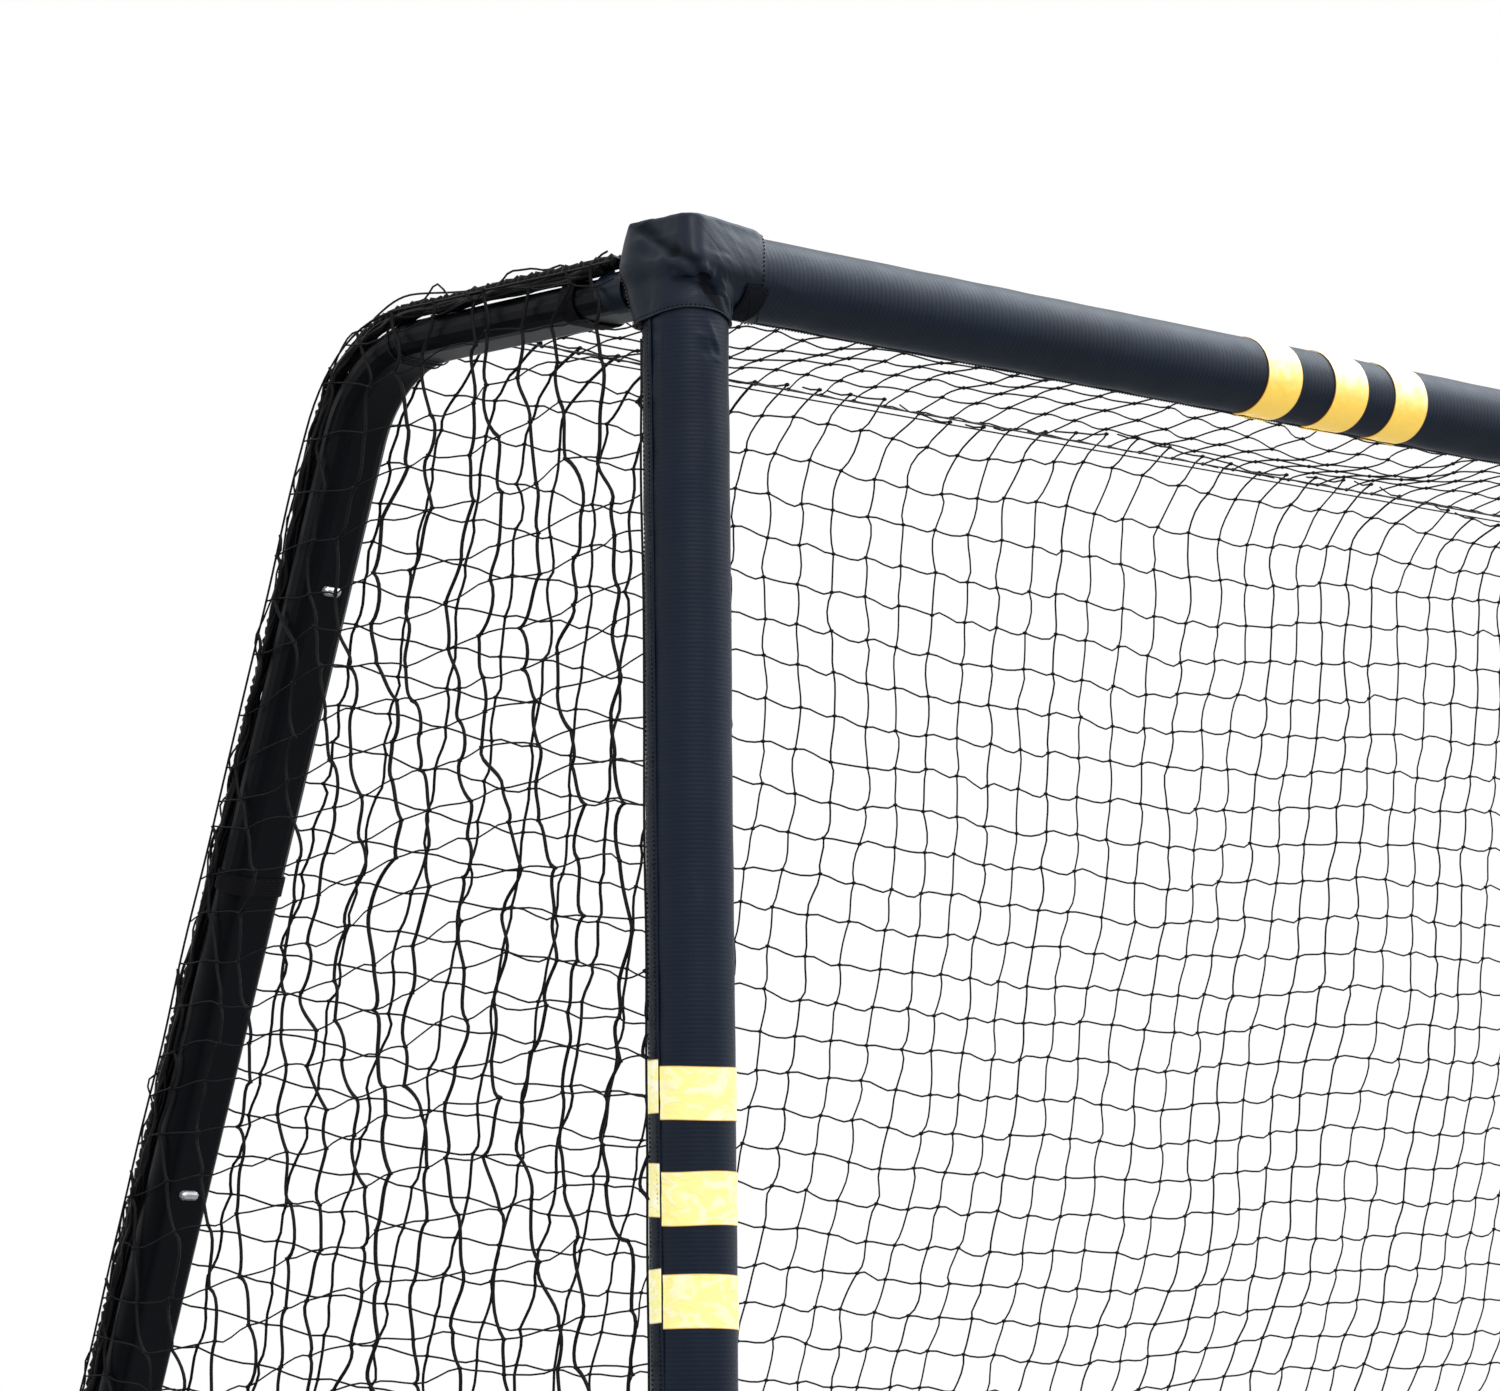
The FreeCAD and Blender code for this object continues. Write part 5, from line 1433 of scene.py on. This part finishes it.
def back_grid(columns, rows):
    """Knots of the back net, eased where the photographed one hangs unevenly."""
    x, run = np.meshgrid(columns, rows)
    strewn = np.random.default_rng(99).normal(0, 0.0011, x.shape + (2,))
    shift = 0.0030 * ripple(x, run, 0.55, 7) + 0.0012 * ripple(x, run, 0.16, 8) + strewn[..., 0]
    drop = 0.0012 * ripple(x, run, 0.14, 10) + strewn[..., 1] * 0.7
    below = crossfade(run, TOP_LINE_RUN, TOP_LINE_RUN + 0.10) * (1 - crossfade(run, 1.6, 2.2))
    drop = drop + np.interp(-POST.x - np.abs(x), SAG_AWAY, SAG_DOWN) * below
    edge = np.clip((1.19 - np.abs(x)) / 0.08, 0, 1)
    return np.stack((x + shift * edge, run + drop * np.clip((run - 0.215) / 0.05, 0, 1)), -1)


def net_columns(half_width):
    """Places of a net's columns, from the middle out to past this half width."""
    across = bpy.context.scene.net_nets.across
    half_cells = math.ceil(half_width / across)
    return np.arange(-half_cells, half_cells + 1) * across


def level_line(along, at, half):
    """A border strand along the first flat direction, and its half thickness."""
    return np.stack((along, np.full_like(along, at)), -1), half


def upright_line(at, along, half):
    """A border strand along the second flat direction, and its half thickness."""
    return np.stack((np.full_like(along, at), along), -1), half


BACK_PANELS = 5


def back_net_pieces():
    """The back net in panels from left to right, from the doubled line to the rear bar."""
    nets = bpy.context.scene.net_nets
    rope_edge = -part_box("left_edge_rope")[1].x + 0.0004
    inner = -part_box("left_rear_foot")[1].x - 0.004
    end = leg_run(SIDE_DEEP / 2, LEG_LONG - 0.012)
    foot_run = leg_run(SIDE_DEEP / 2, LEG_LONG - 0.085)
    columns = net_columns(rope_edge)
    grid = back_grid(columns, np.arange(TOP_LINE_RUN, end, nets.down))

    def inside(flat):
        x, run = np.abs(flat[..., 0]), flat[..., 1]
        edge = np.where(run < TOP_LINE_RUN + 0.09, -POST.x - 0.021, rope_edge)
        edge = np.where(run > foot_run, inner, edge)
        return (x <= edge) & (run >= TOP_LINE_RUN - 1e-6) & (run <= end)

    def gathered(flat):
        """Columns are gathered to a thicker strand beside the legs."""
        away = -POST.x - np.abs(flat[..., 0])
        return nets.twine * (0.64 + 0.36 * (1 - crossfade(away, 0.24, 0.30)))

    cuts = np.linspace(0, len(columns) - 1, BACK_PANELS + 1).astype(int)
    for count, (first, last) in enumerate(zip(cuts[:-1], cuts[1:])):
        borders = []
        for side, panel in ((-1, 0), (1, BACK_PANELS - 1)):
            if count == panel:
                run = np.arange(TOP_LINE_RUN + 0.095, foot_run - 0.004, 0.012)
                borders.append(upright_line(side * (rope_edge - 0.0006), run, 0.0009))
        x = np.linspace(columns[first], columns[last], 60)
        borders.append(level_line(x[np.abs(x) < inner], end, 0.0012))
        net = net_piece(
            f"back_net_{count + 1}", grid[:, first:last + 1], back_place, inside,
            (nets.twine * 0.53, gathered), 100 + count, ((-0.20, -0.46, 0.22), (-0.12, 0.10, 0.34)),
            steps=(3, 3) if count > 2 else (4, 4), shared=count < BACK_PANELS - 1, borders=borders)
        if count == 0:
            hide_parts("back_net")


def top_net_piece():
    """The top net, from the crossbar's sleeve back to the doubled line."""
    nets = bpy.context.scene.net_nets
    low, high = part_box("top_net")
    front, rear, wide = low.y + 0.0016, POST.y + TOP_LINE_RUN, high.x
    deep, fall = rear - front, 0.045

    def place(flat):
        x, y = flat[..., 0], flat[..., 1]
        t = np.clip((y - front) / deep, 0, 1)
        free = crossfade(np.clip(wide - np.abs(x), 0, None), 0.0, 0.10)
        behind = (1 - t) * deep
        end_z = RAIL_Z + SIDE_DEEP / 2 + 0.0015
        rise = BAR_Z + 0.006 + 0.010 * free - end_z
        rise = rise * (1 - np.exp(-behind / fall)) / (1 - math.exp(-deep / fall))
        dip = nets.slack * free * np.exp(-((behind - 0.055) / 0.035) ** 2)
        dip = dip * np.clip(0.5 + 0.9 * ripple(x, x * 0, 0.45, 15), -0.15, 1.5)
        z = end_z + rise - dip + 0.0016 * free * np.sin(t * math.pi) * ripple(x, y, 0.12, 16)
        return np.stack((x, y, z), -1)

    def inside(flat):
        x, y = np.abs(flat[..., 0]), flat[..., 1]
        return (x <= wide) & (y >= front - 1e-6) & (y <= rear + 0.002)

    columns = net_columns(wide)
    x, y = np.meshgrid(columns, np.linspace(front, rear, 10))
    met = back_grid(columns, np.array((TOP_LINE_RUN,)))[0, :, 0] - columns
    t = (y - front) / deep
    free = np.sin(t * math.pi)
    strewn = np.random.default_rng(121).normal(0, 0.0012, x.shape + (2,)) * free[..., None]
    x = x + 0.006 * free * ripple(x, y, 0.5, 17) + strewn[..., 0] + met * t
    y = y + 0.005 * free * ripple(x, y, 0.3, 18) + strewn[..., 1]
    borders = [level_line(np.linspace(-wide, wide, 300), front, 0.0010)]
    borders += [upright_line(side * wide, np.linspace(front, rear, 20), 0.0009) for side in SIDES]
    net = net_piece("top_net_twine", np.stack((x, y), -1), place, inside, (nets.twine / 2,) * 2,
                    120, ((-0.2, -0.4, 0.25), (0.1, -0.1, 0.3)), borders=borders)
    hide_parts("top_net")


# The side nets' knots: along a row and down a column
SIDE_ACROSS = 0.030
SIDE_ROWS = 0.0245


def side_net_pieces(side):
    """Slack side net outside the frame: thick gathered uprights, thin rows."""
    nets = bpy.context.scene.net_nets
    name, flip = SIDES[side]
    low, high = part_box("left_side_net")
    cover_low, cover_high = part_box("left_corner_cover")
    notch_y, notch_z = cover_high.y + 0.0025, cover_low.z - 0.0025
    off = SIDE_DEEP / 2 + 0.0045
    front, floor_z = low.y - 0.0038, low.z + 0.001
    knee, bend, up, back = (np.array((v.y, v.z)) for v in (KNEE, BEND_MIDDLE, LEG_UP, LEG_BACK))

    def inside(flat):
        y, z = flat[..., 0], flat[..., 1]
        from_bend = flat - bend
        on_bend = (from_bend[..., 0] > 0) & (from_bend @ up > 0)
        within = (z <= RAIL_Z + off) & ((flat - knee) @ back <= off)
        within &= ~on_bend | (np.linalg.norm(from_bend, axis=-1) <= BEND_R + off)
        within &= (y >= front) & (z >= floor_z)
        return within & ~((y < notch_y) & (z > notch_z))

    def place(flat):
        y, z = flat[..., 0], flat[..., 1]
        puff = 0.0006 * (1 + 0.7 * ripple(y, z, 0.09, 25 + side))
        puff = puff + 0.0022 * (1 - crossfade(y, front, front + 0.05))
        return flip(np.stack(((low.x + high.x) / 2 - puff, y, z), -1))

    columns = np.arange(low.y - 0.04, high.y + 0.06, SIDE_ACROSS)
    rows = np.arange(high.z + 0.102, floor_z - 0.03, -SIDE_ROWS)
    y, z = np.meshgrid(columns, rows)
    dice = np.random.default_rng(130 + side)
    sway = 0.007 * ripple(y, z, 0.22, 26 + side) + 0.0045 * ripple(y, z, 0.075, 28 + side)
    sway = np.clip(sway, -0.012, 0.012) + dice.normal(0, 0.0028, y.shape)
    z = z - 0.008 * ripple(y, z, 0.35, 30 + side) - 0.003 * ripple(y, z, 0.1, 31 + side)
    z = z - 0.06 * np.clip(y - low.y, 0, None) + dice.normal(0, 0.0016, y.shape)
    grid = np.stack((y + sway, z), -1)
    half_rows = len(rows) // 2
    rim_run = np.arange(notch_y - POST.y + 0.003, leg_run(off, LEG_LONG - 0.03), 0.008)
    rim, _ = round_knee(off - 0.0006, rim_run)
    front_edge = np.arange(floor_z + 0.002, notch_z - 0.002, 0.012)
    hem = np.arange(front + 0.004, rim[-1][0] - 0.01, 0.012)
    upper = ((rim, 0.0008), upright_line(front + 0.0006, front_edge, 0.0009))
    lower = (level_line(hem, floor_z + 0.0006, 0.0010),)
    halves = ((grid[:half_rows + 1], upper), (grid[half_rows:], lower))
    for count, (part, borders) in enumerate(halves):
        net = net_piece(
            f"{name}_side_net_{count + 1}", part, place, inside,
            (nets.twine * 0.46, nets.twine * 1.15), 140 + count + 10 * side,
            ((0.12, 0.10, 0.22), (0.0, 0.0, 0.66)), steps=(4, 7), borders=borders)
        if count == 0:
            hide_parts(f"{name}_side_net")


# Loose strands of the ropes: outwards and upwards from the rope's middle, wave,
# half thickness
ROPE_STRANDS = (
    (-0.0046, -0.0082, 0.0005, 0.0013), (-0.0040, -0.0070, 0.0012, 0.0008),
    (-0.0012, -0.0076, 0.0005, 0.0013), (0.0030, -0.0072, 0.0006, 0.0013),
    (-0.0030, -0.0045, 0.0018, 0.0009), (0.0026, -0.0040, 0.0016, 0.0008),
    (-0.0014, 0.0002, 0.0028, 0.0006), (0.0006, 0.0008, 0.0030, 0.0006),
    (-0.0032, -0.0062, 0.0002, 0.0022), (0.0008, -0.0060, 0.0002, 0.0020),
)
# The braid: its strands, the run in which they come round, and how far they swing
BRAID_STRANDS = 3
BRAID_TURN = 0.017
BRAID_ASIDE = 0.0023
BRAID_LIFT = 0.0017


def edge_ropes(side):
    """Net gathered into a braid along rail, bend and leg, with loose strands."""
    nets = bpy.context.scene.net_nets
    name, flip = SIDES[side]
    low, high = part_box("left_edge_rope")
    off = high.z - RAIL_Z - (high.x - low.x) / 2
    start = low.y - POST.y + 0.002
    end = leg_run(off, (KNEE.z - low.z) / LEG_UP.z) - 0.01
    lines = []

    def add(spot, aside, half):
        x = (low.x + high.x) / 2 + aside
        lines.append((flip(np.stack((x, spot[:, 0], spot[:, 1]), -1)), half))

    run = np.arange(start, end, 0.0023)
    spot, outward = round_knee(off - 0.0028, run)
    thick = 1 + 0.18 * ripple(run, run * 0, 0.12, 40 + side)
    for strand in range(BRAID_STRANDS):
        t = (run / BRAID_TURN + strand / BRAID_STRANDS) * 2 * math.pi
        lift = BRAID_LIFT * np.sin(2 * t) * thick
        add(spot + outward * lift[:, None], BRAID_ASIDE * np.sin(t) * thick, nets.rope / 2 * thick)
    run = np.arange(start + 0.01, end - 0.01, 0.0045)
    spot, outward = round_knee(off, run)
    for strand, (aside, mean, wide, half) in enumerate(ROPE_STRANDS):
        wave = ripple(run, run * 0, 0.035 + 0.01 * (strand % 3), 44 + strand + 9 * side)
        drift = ripple(run, run * 0, 0.045, 64 + strand + 9 * side)
        add(spot + outward * (mean + wide * wave)[:, None], aside + 0.0011 * drift, half)
    rope = cords(f"{name}_edge_rope_braid", lines, "rope", sides=6)
    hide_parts(f"{name}_edge_rope")


# The doubled line: degrees round the bend of its two strands, its distance from the
# tube, its half thickness and its sag
TOP_LINE_ANGLES = (12.5, 6.9)
TOP_LINE_OFF = 0.0009
TOP_LINE_HALF = 0.0005
TOP_LINE_SAG = 0.0006


def top_lines():
    """The doubled taut line between the side frames, tied round each."""
    half = -POST.x
    ring = oval_ring(TOP_LINE_OFF, 72)
    lines = []
    for angle in TOP_LINE_ANGLES:
        turn = math.radians(angle)
        outward = np.array((0.0, math.sin(turn), math.cos(turn)))
        centre = np.array((0.0, BEND_MIDDLE.y, BEND_MIDDLE.z)) + outward * BEND_R
        _, y, z = centre + outward * (SIDE_DEEP / 2 + TOP_LINE_OFF)
        x = np.linspace(-half, half, 160)
        sag = TOP_LINE_SAG * (1 - (x / half) ** 2)
        lines.append((np.stack((x, np.full_like(x, y), z - sag), -1), TOP_LINE_HALF))
        for side in SIDES:
            end = centre + np.array((side * half, 0, 0))
            hoop = end + ring[:, :1] * np.array((1.0, 0, 0)) + ring[:, 1:] * outward
            lines.append((np.vstack([hoop, hoop[:1]]), TOP_LINE_HALF))
    line = cords("top_rear_line_cord", lines, "thin_cord", sides=6)
    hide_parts("top_rear_line")


def tie_places():
    """Middle and bar direction of each webbing tie, read from the carried ties."""
    node = frame["nodes"]["net_ties"]
    spots = np.array([tuple(v.co) for v in node.data.vertices])
    names = {}
    ids = [names.setdefault(tuple(p), len(names)) for p in np.round(spots, 5)]
    chief = list(range(len(names)))

    def root(a):
        while chief[a] != a:
            a = chief[a]
        return a

    for face in node.data.polygons:
        first, *others = (ids[v] for v in face.vertices)
        for other in others:
            chief[root(other)] = root(first)
    groups = {}
    for spot, key in zip(spots, ids):
        groups.setdefault(root(key), []).append(spot)
    places = []
    for group in groups.values():
        centre = (np.min(group, 0) + np.max(group, 0)) / 2
        if abs(centre[0]) < -POST.x - 0.05:
            way, across = (1, 0, 0), (0, 1, 0)
        elif 0.06 < centre[2] < RAIL_Z - 0.03:
            way, across = tuple(LEG_UP), (1, 0, 0)
        else:
            way, across = (0, 1, 0), (1, 0, 0)
        places.append((centre, np.array(way, float), np.array(across, float)))
    return places


# Points round a tie, and the one in the middle of its sewn lap
TIE_POINTS = 72
TIE_LAP = 46


def webbing_ties():
    """A strap with a sewn lap round tube and net edge at every tie."""
    spots = np.arange(TIE_POINTS)
    share = np.linspace(-0.0052, 0.0052, 5)
    parts = []
    for count, (centre, way, across) in enumerate(tie_places()):
        up = np.cross(way, across)
        skew = 0.0006 * np.sin(spots / TIE_POINTS * 2 * math.pi + count)
        lap = 0.0006 * np.exp(-((spots - TIE_LAP) / 5.0) ** 4)
        grids = []
        for off, thicker in ((0.0013, lap), (0.0005, lap * 0)):
            flat = oval_ring(off, TIE_POINTS) * (1 + thicker / SIDE_DEEP * 2)[:, None]
            grids.append(centre + flat[None, :, :1] * across + flat[None, :, 1:] * up
                         + (share[:, None] + skew[None, :])[..., None] * way)
        parts.append(wall("tie", *grids, share, np.arange(TIE_POINTS + 1) * 0.0017, loop=True, sharp=45))
    straps = joined("webbing_straps", parts)
    settle(straps, "webbing")
    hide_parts("net_ties")


# The photograph's view, from the corner: place in metres, then the view's own axes
EYE = Vector((-1.9294, -1.9776, -0.5900))
EYE_RIGHT = Vector((0.7087, -0.7054, -0.00975))
EYE_DOWN = Vector((0.0853, 0.0994, -0.9914))
EYE_FORWARD = Vector((0.70034, 0.70176, 0.13056))
# Focal length in millimetres, on a sensor this wide
LENS = 129.6
SENSOR = 36.0


def studio_camera():
    """The photograph's view of the left corner."""
    camera = bpy.data.cameras.new("photo_camera")
    camera.lens, camera.sensor_width = LENS, SENSOR
    camera.clip_start, camera.clip_end = 0.05, 60.0
    holder = add_object("photo_camera", camera)
    turn = Matrix((EYE_RIGHT, -EYE_DOWN, -EYE_FORWARD)).transposed()
    holder.matrix_world = Matrix.Translation(CORNER + EYE) @ turn.to_4x4()
    bpy.context.scene.camera = holder


def pale_where_seen(nodes, links, plain, seen):
    """Mixes two shaders: seen by camera, gloss and glass, plain for the rest."""
    path = nodes.new("ShaderNodeLightPath")
    total = path.outputs["Is Camera Ray"]
    for name in ("Is Glossy Ray", "Is Transmission Ray"):
        add = nodes.new("ShaderNodeMath")
        add.operation = "ADD"
        add.use_clamp = True
        links.new(total, add.inputs[0])
        links.new(path.outputs[name], add.inputs[1])
        total = add.outputs[0]
    mix = nodes.new("ShaderNodeMixShader")
    links.new(total, mix.inputs[0])
    links.new(plain, mix.inputs[1])
    links.new(seen, mix.inputs[2])
    return mix.outputs[0]


def studio_world():
    """White behind the object; soft light from above, little from below."""
    world = bpy.data.worlds.new("studio")
    world.use_nodes = True
    tree = world.node_tree
    tree.nodes.clear()
    nodes, links = tree.nodes, tree.links
    spot = nodes.new("ShaderNodeTexCoord")
    split = nodes.new("ShaderNodeSeparateXYZ")
    links.new(spot.outputs["Generated"], split.inputs[0])
    ramp = nodes.new("ShaderNodeMapRange")
    ramp.inputs["From Min"].default_value, ramp.inputs["From Max"].default_value = -0.15, 0.9
    ramp.inputs["To Min"].default_value, ramp.inputs["To Max"].default_value = 0.05, 0.5
    links.new(split.outputs["Z"], ramp.inputs["Value"])
    light = nodes.new("ShaderNodeBackground")
    light.inputs["Color"].default_value = (0.94, 0.97, 1.0, 1.0)
    links.new(ramp.outputs[0], light.inputs["Strength"])
    white = nodes.new("ShaderNodeBackground")
    white.inputs["Color"].default_value = (1.0, 1.0, 1.0, 1.0)
    out = nodes.new("ShaderNodeOutputWorld")
    links.new(pale_where_seen(nodes, links, light.outputs[0], white.outputs[0]), out.inputs[0])
    bpy.context.scene.world = world


# How bright the floor is for the object's own light, and where it is seen; its half width
FLOOR_TONES = ((0.12, 0.12, 0.13, 1.0), (0.62, 0.62, 0.63, 1.0))
FLOOR_WIDE = 9.0


def studio_floor():
    """A plain floor just under the pads."""
    material = bpy.data.materials.new("studio_floor")
    material.use_nodes = True
    nodes, links = material.node_tree.nodes, material.node_tree.links
    nodes.clear()
    shades = []
    for tone in FLOOR_TONES:
        shade_node = nodes.new("ShaderNodeBsdfDiffuse")
        shade_node.inputs["Color"].default_value = tone
        shades.append(shade_node.outputs[0])
    out = nodes.new("ShaderNodeOutputMaterial")
    links.new(pale_where_seen(nodes, links, *shades), out.inputs[0])
    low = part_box("left_front_pad")[0].z - 0.0005
    corners = ((-1, -1), (1, -1), (1, 1), (-1, 1))
    mesh = bpy.data.meshes.new("studio_floor")
    mesh.from_pydata([(x * FLOOR_WIDE, y * FLOOR_WIDE, low) for x, y in corners], [], [(0, 1, 2, 3)])
    floor = add_object("studio_floor", mesh)
    mesh.materials.append(material)


def soft_light(name, place, size, power, tint):
    """A round lamp that faces the photographed corner."""
    lamp = bpy.data.lights.new(name, "AREA")
    lamp.shape, lamp.size, lamp.energy, lamp.color = "DISK", size, power, tint
    holder = add_object(name, lamp)
    holder.location = place
    holder.rotation_euler = (CORNER - Vector(place)).to_track_quat("-Z", "Y").to_euler()


# Operators
def dress_carried():
    """Finishes of the construction's own rigid pieces, by their record slots."""
    record = frame["record"]
    slots = {row["node"]: row["material_slot"] for row in record["subparts"]}
    made = bpy.context.scene["net_paints"]
    for name, node in frame["nodes"].items():
        slot = slots[name]
        if slot in made:
            node.data.materials.clear()
            node.data.materials.append(paint_of(slot))


class NET_OT_finishes(bpy.types.Operator):
    """Make every finish, and give the frame's rigid pieces theirs"""
    bl_idname = "practice_net.finishes"
    bl_label = "Finishes"

    def execute(self, context):
        paints = make_paints(context)
        context.scene["net_paints"] = {name: paint.name for name, paint in paints.items()}
        dress_carried()
        return {"FINISHED"}


class NET_OT_sleeves(bpy.types.Operator):
    """Ribbed sleeves of both posts and the crossbar, with their overlap strips"""
    bl_idname = "practice_net.sleeves"
    bl_label = "Sleeves"

    def execute(self, context):
        for side in (-1, 1):
            post_sleeve(side)
        bar_sleeve()
        return {"FINISHED"}


class NET_OT_tapes(bpy.types.Operator):
    """Three reflective bands on each post and at each end of the crossbar"""
    bl_idname = "practice_net.tapes"
    bl_label = "Reflective bands"

    def execute(self, context):
        for side in (-1, 1):
            tapes(side)
        return {"FINISHED"}


class NET_OT_covers(bpy.types.Operator):
    """Folded corner covers with their threads, tabs and rail tongues"""
    bl_idname = "practice_net.covers"
    bl_label = "Corner covers"

    def execute(self, context):
        for side in (-1, 1):
            corner_covers(side)
            cover_tab(side)
            rail_tongue(side)
        return {"FINISHED"}


class NET_OT_nets(bpy.types.Operator):
    """Knotted back, top and side nets"""
    bl_idname = "practice_net.nets"
    bl_label = "Nets"

    def execute(self, context):
        back_net_pieces()
        top_net_piece()
        for side in (-1, 1):
            side_net_pieces(side)
        return {"FINISHED"}


class NET_OT_ropes(bpy.types.Operator):
    """Edge ropes, the doubled line and the webbing ties"""
    bl_idname = "practice_net.ropes"
    bl_label = "Ropes and ties"

    def execute(self, context):
        for side in (-1, 1):
            edge_ropes(side)
        top_lines()
        webbing_ties()
        return {"FINISHED"}


class NET_OT_stage(bpy.types.Operator):
    """Floor, soft light, white surroundings and the photograph's view"""
    bl_idname = "practice_net.stage"
    bl_label = "Stage"

    def execute(self, context):
        context.scene.view_settings.view_transform = "Standard"
        studio_world()
        studio_floor()
        studio_camera()
        soft_light("key_light", (-2.6, -3.4, 4.6), 2.6, 68.0, (0.97, 0.98, 1.0))
        soft_light("sky_light", (2.2, -0.9, 5.9), 4.2, 160.0, (0.84, 0.92, 1.0))
        soft_light("front_light", (2.1, -2.8, 4.0), 2.4, 26.0, (0.84, 0.92, 1.0))
        return {"FINISHED"}


class NET_PT_panel(bpy.types.Panel):
    """Lists the pieces in their order"""
    bl_idname = "NET_PT_panel"
    bl_label = "Practice Net"
    bl_space_type = "VIEW_3D"
    bl_region_type = "UI"
    bl_category = "Practice Net"

    def draw(self, context):
        for group in (context.scene.net_sleeves, context.scene.net_nets, context.scene.net_colours):
            box = self.layout.box()
            for name in group.__annotations__:
                box.prop(group, name)
        for operator in OPERATORS:
            self.layout.operator(operator.bl_idname)


GROUPS = (("net_sleeves", SleeveSettings), ("net_nets", NetSettings), ("net_colours", ColourSettings))
OPERATORS = (NET_OT_finishes, NET_OT_sleeves, NET_OT_tapes, NET_OT_covers, NET_OT_nets,
             NET_OT_ropes, NET_OT_stage)


def register():
    for name, group in GROUPS:
        bpy.utils.register_class(group)
        setattr(bpy.types.Scene, name, bpy.props.PointerProperty(type=group))
    for operator in OPERATORS:
        bpy.utils.register_class(operator)
    bpy.utils.register_class(NET_PT_panel)


def unregister():
    bpy.utils.unregister_class(NET_PT_panel)
    for operator in reversed(OPERATORS):
        bpy.utils.unregister_class(operator)
    for name, group in reversed(GROUPS):
        delattr(bpy.types.Scene, name)
        bpy.utils.unregister_class(group)


def main():
    register()
    for operator in OPERATORS:
        area, name = operator.bl_idname.split(".")
        getattr(getattr(bpy.ops, area), name)()


if __name__ == "__main__":
    main()
